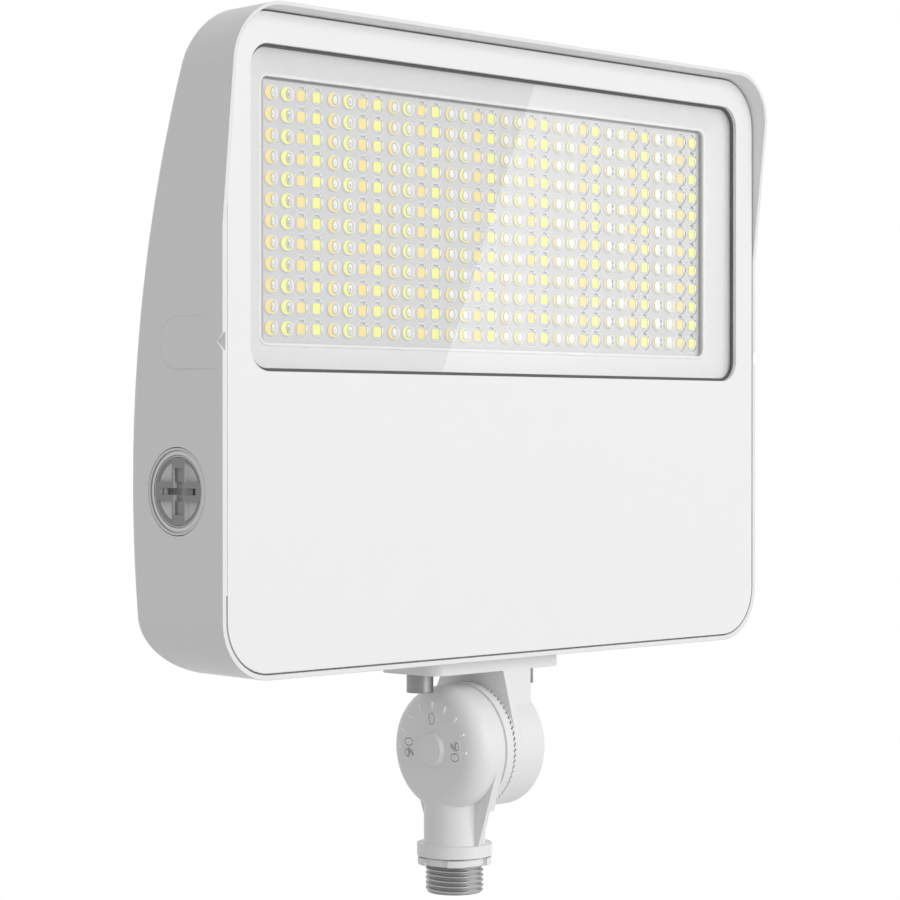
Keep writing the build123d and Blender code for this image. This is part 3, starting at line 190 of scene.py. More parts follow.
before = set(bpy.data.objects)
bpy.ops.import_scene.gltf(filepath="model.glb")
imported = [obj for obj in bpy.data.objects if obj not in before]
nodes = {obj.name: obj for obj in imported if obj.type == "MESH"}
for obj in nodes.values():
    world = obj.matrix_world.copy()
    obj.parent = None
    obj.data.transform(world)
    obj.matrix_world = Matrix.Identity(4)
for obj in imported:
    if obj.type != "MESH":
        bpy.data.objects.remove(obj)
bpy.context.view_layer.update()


# Material helpers
def new_material(name):
    material = bpy.data.materials.new(name)
    material.use_nodes = True
    tree = material.node_tree
    tree.nodes.clear()
    output = tree.nodes.new("ShaderNodeOutputMaterial")
    return material, tree, output


def node(tree, kind, **values):
    made = tree.nodes.new(kind)
    for key, value in values.items():
        if key in made.inputs:
            made.inputs[key].default_value = value
        else:
            setattr(made, key, value)
    return made


def noise(tree, vector, scale, detail=3.0):
    made = node(tree, "ShaderNodeTexNoise", Scale=scale, Detail=detail, Roughness=NOISE_ROUGH)
    tree.links.new(vector, made.inputs["Vector"])
    return made.outputs["Fac"]


def ramp(tree, value, low, high, out_low, out_high):
    made = node(tree, "ShaderNodeMapRange")
    made.inputs["From Min"].default_value = low
    made.inputs["From Max"].default_value = high
    made.inputs["To Min"].default_value = out_low
    made.inputs["To Max"].default_value = out_high
    tree.links.new(value, made.inputs["Value"])
    return made.outputs["Result"]


def mix_colour(tree, factor, first, second):
    made = node(tree, "ShaderNodeMix", data_type="RGBA")
    made.inputs[MIX_FIRST].default_value = (*first, 1.0)
    made.inputs[MIX_SECOND].default_value = (*second, 1.0)
    tree.links.new(factor, made.inputs[MIX_FACTOR])
    return made.outputs[MIX_RESULT]


def add_relief(tree, shader, height, bump, edge):
    """Fine relief from a height, and edges that are softened by a radius in millimetres."""
    relief = node(tree, "ShaderNodeBump", Strength=bump, Distance=RELIEF)
    tree.links.new(height, relief.inputs["Height"])
    if edge:
        rounding = node(tree, "ShaderNodeBevel", samples=EDGE_SAMPLES, Radius=edge * MM)
        tree.links.new(rounding.outputs["Normal"], relief.inputs["Normal"])
    tree.links.new(relief.outputs["Normal"], shader.inputs["Normal"])


def mottled(tree, colour, second, mottle, low_gloss, high_gloss, gloss_grain):
    """Shader whose colour and roughness wander between two values each."""
    place = node(tree, "ShaderNodeTexCoord").outputs["Object"]
    shader = node(tree, "ShaderNodeBsdfPrincipled")
    tint = mix_colour(tree, noise(tree, place, mottle), colour, second)
    tree.links.new(tint, shader.inputs["Base Color"])
    gloss = ramp(tree, noise(tree, place, gloss_grain), NOISE_LOW, NOISE_HIGH, low_gloss, high_gloss)
    tree.links.new(gloss, shader.inputs["Roughness"])
    return shader, place


def coated(name, colour, second, roughness, spread, grain, bump, edge=0.0, mottle=90.0):
    """A finish with a slightly mottled colour, uneven gloss, a fine grain and softened edges."""
    material, tree, output = new_material(name)
    low, high = roughness - spread, roughness + spread
    shader, place = mottled(tree, colour, second, mottle, low, high, mottle * GLOSS_FINER)
    add_relief(tree, shader, noise(tree, place, grain, GRAIN_DETAIL), bump, edge)
    tree.links.new(shader.outputs["BSDF"], output.inputs["Surface"])
    return material


def brushed(name, colour, second, roughness, axis_scale, edge=0.3, fine=700.0):
    """Turned or brushed metal: streaks along one direction."""
    material, tree, output = new_material(name)
    place = node(tree, "ShaderNodeTexCoord").outputs["Object"]
    mapping = node(tree, "ShaderNodeMapping")
    mapping.inputs["Scale"].default_value = axis_scale
    tree.links.new(place, mapping.inputs["Vector"])
    shader = node(tree, "ShaderNodeBsdfPrincipled")
    shader.inputs["Metallic"].default_value = 1.0
    streak = noise(tree, mapping.outputs["Vector"], fine, STREAK_DETAIL)
    tree.links.new(mix_colour(tree, streak, colour, second), shader.inputs["Base Color"])
    low, high = roughness - STREAK_SPREAD, roughness + STREAK_SPREAD
    tree.links.new(ramp(tree, streak, NOISE_LOW, NOISE_HIGH, low, high), shader.inputs["Roughness"])
    add_relief(tree, shader, streak, STREAK_BUMP, edge)
    tree.links.new(shader.outputs["BSDF"], output.inputs["Surface"])
    return material


def lit_through(tree, output, shader):
    """Shows a shader to the eye and lets shadow and diffuse rays pass to what is behind it."""
    clear = node(tree, "ShaderNodeBsdfTransparent")
    path = node(tree, "ShaderNodeLightPath")
    either = node(tree, "ShaderNodeMath", operation="MAXIMUM")
    tree.links.new(path.outputs["Is Shadow Ray"], either.inputs[0])
    tree.links.new(path.outputs["Is Diffuse Ray"], either.inputs[1])
    mixer = node(tree, "ShaderNodeMixShader")
    tree.links.new(either.outputs[0], mixer.inputs["Fac"])
    tree.links.new(shader.outputs["BSDF"], mixer.inputs[1])
    tree.links.new(clear.outputs["BSDF"], mixer.inputs[2])
    tree.links.new(mixer.outputs["Shader"], output.inputs["Surface"])


def pane(name, first, second, smear_scale, smear_from, smear_to, smear_most, tint_scale):
    """Clear flat glass that refracts what the eye sees and lets light through to what is behind it."""
    material, tree, output = new_material(name)
    place = node(tree, "ShaderNodeTexCoord").outputs["Object"]
    glass = node(tree, "ShaderNodeBsdfPrincipled")
    glass.inputs["Transmission Weight"].default_value = 1.0
    glass.inputs["IOR"].default_value = GLASS_IOR
    smears = noise(tree, place, smear_scale, STREAK_DETAIL)
    tree.links.new(ramp(tree, smears, smear_from, smear_to, 0.0, smear_most), glass.inputs["Roughness"])
    tint = mix_colour(tree, noise(tree, place, tint_scale), first, second)
    tree.links.new(tint, glass.inputs["Base Color"])
    lit_through(tree, output, glass)
    return material


def seal_line(name, colour, second, mottle, low_gloss, high_gloss, gloss_grain, grain, bump):
    """Rubber seal that keeps no light from the pale frame beside it."""
    material, tree, output = new_material(name)
    rubber, place = mottled(tree, colour, second, mottle, low_gloss, high_gloss, gloss_grain)
    add_relief(tree, rubber, noise(tree, place, grain, GRAIN_DETAIL), bump, 0.0)
    lit_through(tree, output, rubber)
    return material


def grey(tone):
    return (tone, tone, tone)


# Materials, each with its two colours, its roughness and its grain
housing_paint = coated("housing_paint", grey(0.86), grey(0.84), 0.42, 0.04, 2600.0, 0.12, edge=0.45)
cover_paint = coated("cover_paint", grey(0.90), grey(0.885), 0.38, 0.04, 2600.0, 0.1, edge=0.35)
frame_paint = coated("frame_paint", grey(0.83), grey(0.77), 0.5, 0.05, 3500.0, 0.25, edge=0.4, mottle=260.0)
bead_paint = coated("bead_paint", grey(0.93), grey(0.90), 0.4, 0.05, 3500.0, 0.1)
dark_rubber = coated("dark_rubber", grey(0.075), grey(0.10), 0.6, 0.05, 3000.0, 0.3, edge=0.2)
light_rubber = coated("light_rubber", grey(0.62), grey(0.58), 0.55, 0.05, 3000.0, 0.3)
plug_grey = coated("plug_grey", grey(0.82), grey(0.79), 0.35, 0.05, 1500.0, 0.1, edge=0.15)
# Plug skins besides plain grey: painted light on lit faces, a darker grey that also paints shade in the
# grooves, and painted deep shade in slots and pits
plug_painted_light = coated("plug_painted_light", grey(0.90), grey(0.87), 0.35, 0.05, 1500.0, 0.1)
plug_darker_and_painted_shade = coated("plug_darker_and_painted_shade", grey(0.33), grey(0.29), 0.4, 0.05, 1500.0, 0.1)
plug_painted_deep_shade = coated("plug_painted_deep_shade", grey(0.20), grey(0.17), 0.45, 0.05, 1500.0, 0.1)
black_plastic = coated("black_plastic", grey(0.03), grey(0.042), 0.4, 0.05, 2500.0, 0.2, edge=0.2)
board_green = coated("board_green", (0.02, 0.16, 0.07), (0.03, 0.2, 0.09), 0.35, 0.05, 900.0, 0.1)
board_white = coated("board_white", grey(0.72), grey(0.66), 0.45, 0.05, 1200.0, 0.1)
case_metal = brushed("case_metal", grey(0.6), grey(0.5), 0.4, (1.0, 1.0, 8.0))
bolt_steel = brushed("bolt_steel", grey(0.27), grey(0.23), 0.32, (0.4, 0.4, 2.0), edge=0.6, fine=300.0)
bare_metal = brushed("bare_metal", grey(0.42), grey(0.36), 0.42, (1.0, 1.0, 9.0), edge=0.1)
# White of the selector sliders; the same skin paints the highlights (gleams and strokes) on the light rows'
# lenses
white_and_painted_highlight = coated("white_and_painted_highlight", (0.96, 0.96, 0.95), grey(0.93), 0.2, 0.04, 900.0, 0.05)
led_warm = coated("led_warm", (1.0, 0.79, 0.26), (1.0, 0.87, 0.38), 0.4, 0.05, 2500.0, 0.1, mottle=400.0)
led_cool = coated("led_cool", (1.0, 1.0, 0.27), (1.0, 1.0, 0.36), 0.4, 0.05, 2500.0, 0.1, mottle=400.0)
panel_grey = coated("panel_grey", grey(0.70), grey(0.64), 0.5, 0.05, 1200.0, 0.35, mottle=420.0)
# Light-row skins: the lenses' pale face, which also paints light rings, then painted soft shade, painted
# grey shade for lens rims and panel edges, and painted dark shade and reflections
lens_pale = coated("lens_pale", grey(0.84), grey(0.78), 0.25, 0.04, 900.0, 0.1, mottle=420.0)
painted_soft_shade = coated("painted_soft_shade", grey(0.58), grey(0.53), 0.3, 0.04, 900.0, 0.1, mottle=420.0)
painted_grey_shade = coated("painted_grey_shade", (0.50, 0.48, 0.44), (0.56, 0.54, 0.50), 0.25, 0.04, 900.0, 0.1)
painted_dark_shade = coated("painted_dark_shade", grey(0.27), grey(0.36), 0.25, 0.04, 900.0, 0.1)
mark_paint = coated("mark_paint", grey(1.0), grey(0.98), 0.4, 0.04, 2600.0, 0.1)
mark_shade = coated("mark_shade", grey(0.50), grey(0.46), 0.5, 0.04, 2600.0, 0.1)
glass = pane(
    "clear_glass", (0.985, 0.99, 0.99), grey(0.995),
    smear_scale=14.0, smear_from=0.55, smear_to=0.9, smear_most=0.02, tint_scale=9.0,
)
glass_seal = seal_line(
    "glass_seal", grey(0.075), grey(0.10),
    mottle=160.0, low_gloss=0.55, high_gloss=0.65, gloss_grain=900.0, grain=3000.0, bump=0.3,
)

SKINS = {
    "rear_housing": housing_paint,
    "front_cover": cover_paint,
    "glass_gasket": glass_seal,
    "glass_lens": glass,
    "cover_gasket": dark_rubber,
    "cover_screws": bolt_steel,
    "reflector_frame": frame_paint,
    "lens_plate": panel_grey,
    "led_board": board_white,
    "board_screws": bolt_steel,
    "leds_warm": led_warm,
    "leds_cool": led_cool,
    "driver": case_metal,
    "driver_screws": bolt_steel,
    "side_plug": plug_grey,
    "plug_ring": dark_rubber,
    "selector_board": board_green,
    "selector_screws": bolt_steel,
    "switch_bodies": black_plastic,
    "colour_slider": white_and_painted_highlight,
    "power_slider": white_and_painted_highlight,
    "flange_gasket": light_rubber,
    "wire_bushing": dark_rubber,
    "bracket_bolts": bolt_steel,
    "bracket": housing_paint,
    "lower_arm": housing_paint,
    "pivot_bolt": bolt_steel,
    "pivot_washer": bolt_steel,
    "knuckle_seal": dark_rubber,
    "nipple": bare_metal,
    "seal_washer": light_rubber,
    "locknut": housing_paint,
}
for name, skin in SKINS.items():
    nodes[name].data.materials.clear()
    nodes[name].data.materials.append(skin)


# Mesh helpers
def mesh_piece(name, points, faces, skins, body, face_skins=None, smooth=True):
    """A piece of a body, from points in millimetres; smooth is one value or one for each face."""
    mesh = bpy.data.meshes.new(name)
    mesh.from_pydata([tuple(float(v) * MM for v in p) for p in points], [], [tuple(f) for f in faces])
    mesh.update()
    for skin in skins:
        mesh.materials.append(skin)
    if face_skins is not None:
        mesh.polygons.foreach_set("material_index", face_skins)
    shades = smooth if isinstance(smooth, list) else [smooth] * len(mesh.polygons)
    mesh.polygons.foreach_set("use_smooth", shades)
    piece = bpy.data.objects.new(name, mesh)
    bpy.context.scene.collection.objects.link(piece)
    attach(piece, body)
    return piece


def lathe_grid(rows, around):
    """Faces of a grid of rings: rows rings of around points each."""
    faces = []
    for i in range(rows - 1):
        for j in range(around):
            k = (j + 1) % around
            faces.append((i * around + j, i * around + k, (i + 1) * around + k, (i + 1) * around + j))
    return faces


def circle(radius, around):
    """Points round a circle, counted from the first axis."""
    turns = [TURN * j / around for j in range(around)]
    return [(radius * math.cos(turn), radius * math.sin(turn)) for turn in turns]


def reach(name):
    """Lowest and highest corner of a CAD node in millimetres."""
    spots = [nodes[name].matrix_world @ v.co / MM for v in nodes[name].data.vertices]
    low = [min(spot[k] for spot in spots) for k in range(3)]
    high = [max(spot[k] for spot in spots) for k in range(3)]
    return Vector(low), Vector(high)


# Threaded nipple with the flat along its front
def thread_radius(z, turn):
    """Radius of the thread's surface: a crest with a flat top, cut by the chamfer and the front flat."""
    phase = (z / THREAD_PITCH + turn / TURN) % 1.0
    wave = abs(phase - 0.5) * 2
    flank = min(1.0, max(0.0, (wave - CREST_SHARE) / FLANK_SHARE))
    radius = min(THREAD_R - THREAD_DEPTH * flank, THREAD_R - CHAMFER + (z - THREAD_LOW))
    facing = -math.sin(turn)
    if facing > FLAT_FACING:
        radius = min(radius, THREAD_FLAT_Y / facing)
    return radius


def threaded_nipple():
    points = []
    for z in np.linspace(THREAD_LOW, 0.0, THREAD_ROWS):
        for j in range(NIPPLE_SIDES):
            turn = TURN * j / NIPPLE_SIDES
            radius = thread_radius(z, turn)
            points.append((radius * math.cos(turn), radius * math.sin(turn), z))
    shank = (CORE_R, 0.0), (CORE_R, NUT_TOP), (SHANK_R, NUT_TOP), (SHANK_R, NIPPLE_TOP)
    bore = (BORE_R, NIPPLE_TOP), (BORE_R, THREAD_LOW)
    for radius, z in (*shank, *bore):
        points += [(x, y, z) for x, y in circle(radius, NIPPLE_SIDES)]
    rows = len(points) // NIPPLE_SIDES
    faces = lathe_grid(rows, NIPPLE_SIDES)
    last = (rows - 1) * NIPPLE_SIDES
    for j in range(NIPPLE_SIDES):
        k = (j + 1) % NIPPLE_SIDES
        faces.append((last + j, last + k, k, j))
    piece = mesh_piece("threaded_nipple", points, faces, [bare_metal], "arm")
    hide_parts("nipple")


threaded_nipple()


# Light-emitting rows: pale panel, lens rims, domed lenses and the square emitters, with painted highlights,
# reflections and shade on the lenses
class Sheet:
    """Collects flat and domed patches that face the front, with a skin number each."""

    def __init__(self):
        self.points = []
        self.faces = []
        self.kinds = []

    def patch(self, x, z, y, outline, kind, rise=0.0):
        """A fan over an outline of offsets, drawn out towards the front in its middle."""
        first = len(self.points)
        count = len(outline)
        rings = DOME_RINGS if rise else 1
        for ring in range(rings):
            lean = TURN / 4 * ring / rings
            scale, lift = math.cos(lean), rise * math.sin(lean)
            self.points += [(x + dx * scale, y - lift, z + dz * scale) for dx, dz in outline]
        self.points.append((x, y - rise, z))
        top = len(self.points) - 1
        for ring in range(rings - 1):
            low = first + ring * count
            for j in range(count):
                k = (j + 1) % count
                self.faces.append((low + j, low + k, low + count + k, low + count + j))
                self.kinds.append(kind)
        low = first + (rings - 1) * count
        for j in range(count):
            self.faces.append((low + j, low + (j + 1) % count, top))
            self.kinds.append(kind)

    def spot(self, x, z, patch):
        """An oval patch of a lens whose middle is at x and z."""
        outline = oval(patch.half_w, patch.half_h, patch.count)
        place = (x + patch.right, z + patch.up, BOARD_Y - patch.lift)
        self.patch(*place, outline, patch.kind, patch.rise)

    def band(self, x, z, band):
        """A stretch of a flat ring, thinned out towards both of its ends unless it is closed."""
        first = len(self.points)
        middle, half = (band.inner + band.outer) / 2, (band.outer - band.inner) / 2
        closed = band.end - band.start >= 360
        for j in range(band.steps + 1):
            part = j / band.steps
            turn = math.radians(band.start + (band.end - band.start) * part)
            thin = math.sin(math.pi * (BAND_TIP + (1 - 2 * BAND_TIP) * part)) ** BAND_BULGE
            width = half if closed else half * thin
            for r in (middle - width, middle + width):
                self.points.append((x + r * math.cos(turn), BOARD_Y - band.lift, z + r * math.sin(turn)))
        for j in range(band.steps):
            a = first + 2 * j
            self.faces.append((a, a + 1, a + 3, a + 2))
            self.kinds.append(band.kind)


def oval(half_w, half_h, count=OVAL_SIDES, flat=math.inf):
    """Offsets of an ellipse whose top is cut flat at a height."""
    return [(half_w * across, min(half_h * up, flat)) for across, up in circle(1.0, count)]


def square(half_w, half_h, corner):
    """Offsets of a rectangle with clipped corners."""
    outline = []
    for sx, sz in ((1, 1), (-1, 1), (-1, -1), (1, -1)):
        ends = [(sx * half_w, sz * (half_h - corner)), (sx * (half_w - corner), sz * half_h)]
        outline += ends if sx == sz else ends[::-1]
    return outline


def block(half_w, half_h):
    """Offsets of a plain rectangle."""
    return [(half_w, -half_h), (half_w, half_h), (-half_w, half_h), (-half_w, -half_h)]


def domed_cell(sheet, x, z, tone, across):
    """A tall lens: its emitter shows as a bowed patch beside a white gleam, a painted highlight, that
    widens to the right.
    """
    layers = [BOARD_Y - LAYER_FIRST - LAYER_STEP * k for k in range(SPOT_LAYER)]
    mid_x, mid_z = x + DOME_RIGHT, z + DOME_UP
    half_w, half_h = DOME_HALF_W + DOME_WIDER * across, DOME_HALF_H

    # Painted shade and the pale body of the lens, with the emitter in it
    shade = oval(half_w, half_h + DOME_SHADE_OUT)
    sheet.patch(mid_x - DOME_SHADE_LEFT, mid_z - DOME_SHADE_DOWN, layers[0], shade, SOFT_SHADE)
    sheet.patch(mid_x, mid_z, layers[1], oval(half_w, half_h, LENS_SIDES), PALE)
    emitter = oval(half_w - EMITTER_INSET, half_h - EMITTER_INSET, EMITTER_SIDES, half_h - EMITTER_FLAT)
    sheet.patch(mid_x, mid_z, layers[2], emitter, tone)

    # Pale patch over the emitter's right, which leaves a bow of it at the left
    bow = BOW_LEAST + BOW_MORE * math.exp(-BOW_FADE * across)
    inner_w = max(half_w - bow / 2, INNER_LEAST)
    inner = oval(inner_w + INNER_SPILL, half_h * INNER_SHARE, LENS_SIDES)
    sheet.patch(mid_x + half_w - inner_w, mid_z + INNER_UP, layers[3], inner, PALE)

    # Painted highlight (the gleam) with a rim of painted shade, and a painted bright stroke along the upper
    # right
    gleam_x = x + GLEAM_RIGHT + GLEAM_MORE * math.exp(-GLEAM_FADE * across)
    gleam_w = GLEAM_HALF_W + GLEAM_WIDER * across**GLEAM_WIDER_BY
    gleam_h = GLEAM_HALF_H + GLEAM_TALLER * across**GLEAM_TALLER_BY
    rim = oval(gleam_w + GLEAM_RIM_W, min(gleam_h + GLEAM_RIM_H, GLEAM_RIM_MOST))
    sheet.patch(gleam_x, mid_z, layers[4], rim, RIM_SHADE)
    sheet.patch(gleam_x, mid_z, layers[5], oval(gleam_w, gleam_h), GLEAM, GLEAM_RISE)
    inner_r, outer_r = half_w - STROKE_IN, half_w - STROKE_OUT
    lift = BOARD_Y - layers[6]
    stroke = Band(GLEAM, lift, inner_r, outer_r, 0.0, STROKE_START, STROKE_END, BAND_STEPS)
    sheet.band(mid_x, mid_z, stroke)

    # Spots that show only in the right columns (painted dark reflections, and an orange spot on cool
    # lenses), and a spot of painted soft shade that fades out of the left ones
    if across > SPOT_FROM:
        for spot in (WARM_SPOT,) if tone == COOL else DARK_SPOTS:
            sheet.spot(gleam_x + gleam_w + SPOT_RIGHT, z, spot)
    fade = 1 - across / FADE_UNTIL
    if fade > 0:
        share = fade if tone == COOL else FADE_WARM * fade
        soft = oval(FADE_HALF_W * share + FADE_LEAST, FADE_HALF_H * share + FADE_LEAST, SPOT_SIDES)
        sheet.patch(gleam_x - FADE_LEFT, z - FADE_DOWN, BOARD_Y - FADE_LIFT, soft, SOFT_SHADE)


def flat_cell(sheet, x, z, tone, across, row):
    """A low lens with the square emitter in plain view, rings of painted light and shade round it, and a
    curved painted highlight stroke to its right.
    """
    top_start = LOW_TOP.start if row < ROWS - 1 else LOW_TOP_ROW_START
    side_kind = SHADE if across > LOW_DARK_FROM else LOW_SIDE.kind
    for band in (LOW_RING, LOW_LEFT, LOW_TOP._replace(start=top_start), LOW_SIDE._replace(kind=side_kind)):
        sheet.band(x + LOW_RIGHT, z, band._replace(outer=band.outer + band.wider * across))
    emitter = square(SQUARE_HALF_W, SQUARE_HALF_H, SQUARE_CORNER)
    sheet.patch(x, z + SQUARE_UP, BOARD_Y - SQUARE_LIFT, emitter, tone)
    for patch in LOW_PATCHES:
        sheet.spot(x, z, patch)


def edge_strips(sheet):
    """Shaded strips where the panel meets the frame's opening."""
    left, right = MID_X - PANEL_HALF_W, MID_X + PANEL_HALF_W
    upright = block(STRIP_HALF_W, PANEL_HALF_H)
    sheet.patch(left + STRIP_LEFT_IN, WINDOW_Z, BOARD_Y - STRIP_LIFT, upright, RIM_SHADE)
    sheet.patch(right - STRIP_RIGHT_IN, WINDOW_Z, BOARD_Y - STRIP_LIFT, upright, SOFT_SHADE)
    sheet.patch(right - STRIP_DARK_IN, WINDOW_Z, BOARD_Y - LINE_LIFT, upright, SHADE)
    top_z = WINDOW_Z + PANEL_HALF_H - LINE_HALF_H
    sheet.patch(MID_X, top_z, BOARD_Y - LINE_LIFT, block(PANEL_HALF_W, LINE_HALF_H), SHADE)


def light_engine():
    sheet = Sheet()
    sheet.patch(MID_X, WINDOW_Z, BOARD_Y, block(PANEL_HALF_W, PANEL_HALF_H), PANEL)
    edge_strips(sheet)
    for i in range(COLUMNS):
        x = ROWS_X + (i - (COLUMNS - 1) / 2) * PITCH_X
        tone = WARM if i % 2 == 0 else COOL
        across = i / (COLUMNS - 1)
        for j in range(ROWS):
            z = WINDOW_Z + (j - (ROWS - 1) / 2) * PITCH_Z
            if i % 4 < 2:
                domed_cell(sheet, x, z, tone, across)
            else:
                flat_cell(sheet, x, z, tone, across, j)
    skins = [panel_grey, led_warm, led_cool, painted_grey_shade, white_and_painted_highlight, painted_dark_shade, lens_pale, painted_soft_shade]
    piece = mesh_piece("light_rows", sheet.points, sheet.faces, skins, "head", sheet.kinds)
    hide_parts("lens_plate", "leds_warm", "leds_cool")


light_engine()


# Rounded bead round the panel's opening in the bevelled frame
def frame_bead():
    middle_w = PANEL_HALF_W + BEAD_OUT - BEAD_CORNER_R
    middle_h = PANEL_HALF_H + BEAD_OUT - BEAD_CORNER_R
    points = []
    for side_x, side_z, start in ((1, 1, 0), (-1, 1, 90), (-1, -1, 180), (1, -1, 270)):
        for step in range(BEAD_STEPS + 1):
            turn = math.radians(start + 90 * step / BEAD_STEPS)
            out_x, out_z = math.cos(turn), math.sin(turn)
            x = BEAD_X + side_x * middle_w + BEAD_CORNER_R * out_x
            z = WINDOW_Z + side_z * middle_h + BEAD_CORNER_R * out_z
            for across, rise in circle(BEAD_R, BEAD_SIDES):
                points.append((x + out_x * across, BEAD_Y + rise, z + out_z * across))
    turns = len(points) // BEAD_SIDES
    faces = []
    for j in range(turns):
        here, there = j * BEAD_SIDES, (j + 1) % turns * BEAD_SIDES
        for k in range(BEAD_SIDES):
            m = (k + 1) % BEAD_SIDES
            faces.append((here + k, here + m, there + m, there + k))
    mesh_piece("frame_bead", points, faces, [bead_paint], "head")


frame_bead()


# Pale lip of the seal between the rim and the cover, along the left side
def seam_lip():
    cover_low, cover_high = reach("front_cover")
    left, right = cover_low.x - SEAM_FAR, cover_low.x - SEAM_NEAR
    front = FRONT_Y + SEAM_DEPTH
    low, high = cover_low.z + SEAM_INSET, cover_high.z - SEAM_INSET
    points = [(x, y, z) for x in (left, right) for y in (front, front + SEAM_T) for z in (low, high)]
    faces = ((0, 1, 3, 2), (4, 6, 7, 5), (0, 4, 5, 1), (2, 3, 7, 6), (0, 2, 6, 4), (1, 5, 7, 3))
    mesh_piece("seam_lip", points, faces, [bead_paint], "head", smooth=False)


seam_lip()


# Screw-in plug: rings and a dished cup turned about its axis, with a slotted cross in it
def plug_rings(back):
    """Rings from the back outwards and over the face into the cup, one kind for each round of faces."""
    rings = (
        (PLUG_MID_R, back, PLUG_BAND),
        (PLUG_NECK_R, back, PLUG_BAND),
        (PLUG_NECK_R, PLUG_FLANGE_BACK, PLUG_BAND),
        (PLUG_FLANGE_R, PLUG_FLANGE_BACK, PLUG_BAND),
        *PLUG_PROFILE,
    )
    points, kinds = [], []
    for radius, height, _ in rings:
        points += [(height, y, z) for y, z in circle(radius, PLUG_SIDES)]
    for _, _, kind in rings[1:]:
        kinds += [kind] * PLUG_SIDES
    return points, lathe_grid(len(rings), PLUG_SIDES), kinds


def cross_level(y, z):
    """Height and kind of the drive cross at a place, or the cup's floor outside of it."""
    across, up = abs(y), abs(z)
    if across > ARM_HALF_Y and up > ARM_HALF_Z:
        return CUP_FLOOR, None
    # Slot floors at positive Y, the pits and the recess floors beyond RECESS_DARK_FROM take painted deep
    # shade
    if up < SLOT_HALF_Z and across < SLOT_REACH:
        return SLOT_FLOOR, PLUG_DEEP_SHADE if y > 0 else PLUG_CROSS
    if up < SLOT_HALF_Z and PIT_FROM < across < PIT_TO:
        return PIT_FLOOR, PLUG_DEEP_SHADE
    if across < RECESS_HALF_Y and up < ARM_HALF_Z:
        return SLOT_FLOOR, PLUG_CROSS
    if across < RECESS_HALF_Y and up < RECESS_REACH:
        return RECESS_FLOOR, PLUG_DEEP_SHADE if y > RECESS_DARK_FROM else PLUG_CROSS
    return CROSS_FACE, PLUG_CROSS


def mirrored(*cuts):
    """Cuts on both sides of the middle."""
    return [-cut for cut in cuts] + list(cuts)


def side_skin(high, low, beside, y):
    """Kind of an upright wall across Y; one that faces the back has the kind of its upper tile. One that
    faces the front is plain grey beside the cup's floor, and in a recess gets painted light at positive Y
    and painted shade elsewhere.
    """
    if high != beside:
        return high[1]
    if low[1] is None:
        return PLUG_BAND
    return PLUG_PAINTED_LIGHT if y > 0 else PLUG_DEEP_SHADE


def cross_block():
    """Faces of the cross as level tiles with upright walls where the height changes."""
    ends = mirrored(CROSS_REACH, PIT_TO, PIT_FROM, SLOT_REACH, ARM_HALF_Y, RECESS_HALF_Y)
    cuts_y = sorted([*ends, 0.0, RECESS_DARK_FROM])
    cuts_z = sorted(mirrored(CROSS_REACH, RECESS_REACH, ARM_HALF_Z, SLOT_HALF_Z))
    points, faces, kinds = [], [], []

    def tile(corners, kind):
        faces.append(tuple(range(len(points), len(points) + 4)))
        points.extend(corners)
        kinds.append(kind)

    def level_at(i, j):
        if 0 <= i < len(cuts_y) - 1 and 0 <= j < len(cuts_z) - 1:
            return cross_level((cuts_y[i] + cuts_y[i + 1]) / 2, (cuts_z[j] + cuts_z[j + 1]) / 2)
        return CUP_FLOOR, None

    for i in range(-1, len(cuts_y) - 1):
        for j in range(-1, len(cuts_z) - 1):
            here, beside, above = level_at(i, j), level_at(i + 1, j), level_at(i, j + 1)
            level, kind = here
            y0, y1, z0, z1 = cuts_y[i], cuts_y[i + 1], cuts_z[j], cuts_z[j + 1]
            if kind is not None:
                tile([(level, y0, z0), (level, y0, z1), (level, y1, z1), (level, y1, z0)], kind)
            if beside[0] != level and j >= 0:
                low, high = sorted((here, beside), key=lambda pair: pair[0])
                wall = [(low[0], y1, z0), (high[0], y1, z0), (high[0], y1, z1), (low[0], y1, z1)]
                tile(wall, side_skin(high, low, beside, y1))
            if above[0] != level and i >= 0:
                low, high = sorted((here, above), key=lambda pair: pair[0])
                wall = [(low[0], y0, z1), (high[0], y0, z1), (high[0], y1, z1), (low[0], y1, z1)]
                tile(wall, high[1])
    return points, faces, kinds


def on_wall(wall_x, points):
    """Turns heights from the wall and offsets from the plug's axis into places."""
    return [(wall_x - height, PLUG_Y + y, PLUG_Z + z) for height, y, z in points]


def access_plug():
    front, rear = reach("side_plug")
    wall_x = front.x + PLUG_PROUD
    points, faces, kinds = plug_rings(wall_x - rear.x + PLUG_BACK_GAP)
    more_points, more_faces, more_kinds = cross_block()
    first = len(points)
    faces += [tuple(first + k for k in face) for face in more_faces]
    placed = on_wall(wall_x, points + more_points)
    skins = [plug_grey, plug_painted_light, plug_darker_and_painted_shade, plug_painted_deep_shade]
    smooth = [True] * len(kinds) + [False] * len(more_kinds)
    kinds += more_kinds
    piece = mesh_piece("access_plug", placed, faces, skins, "plug", kinds, smooth)
    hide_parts("side_plug")
    ring = [(height, y, z) for radius, height in SEAT_PROFILE for y, z in circle(radius, PLUG_SIDES)]
    rows = lathe_grid(len(SEAT_PROFILE), PLUG_SIDES)
    mesh_piece("plug_seat_ring", on_wall(wall_x, ring), rows, [bead_paint], "head")


access_plug()


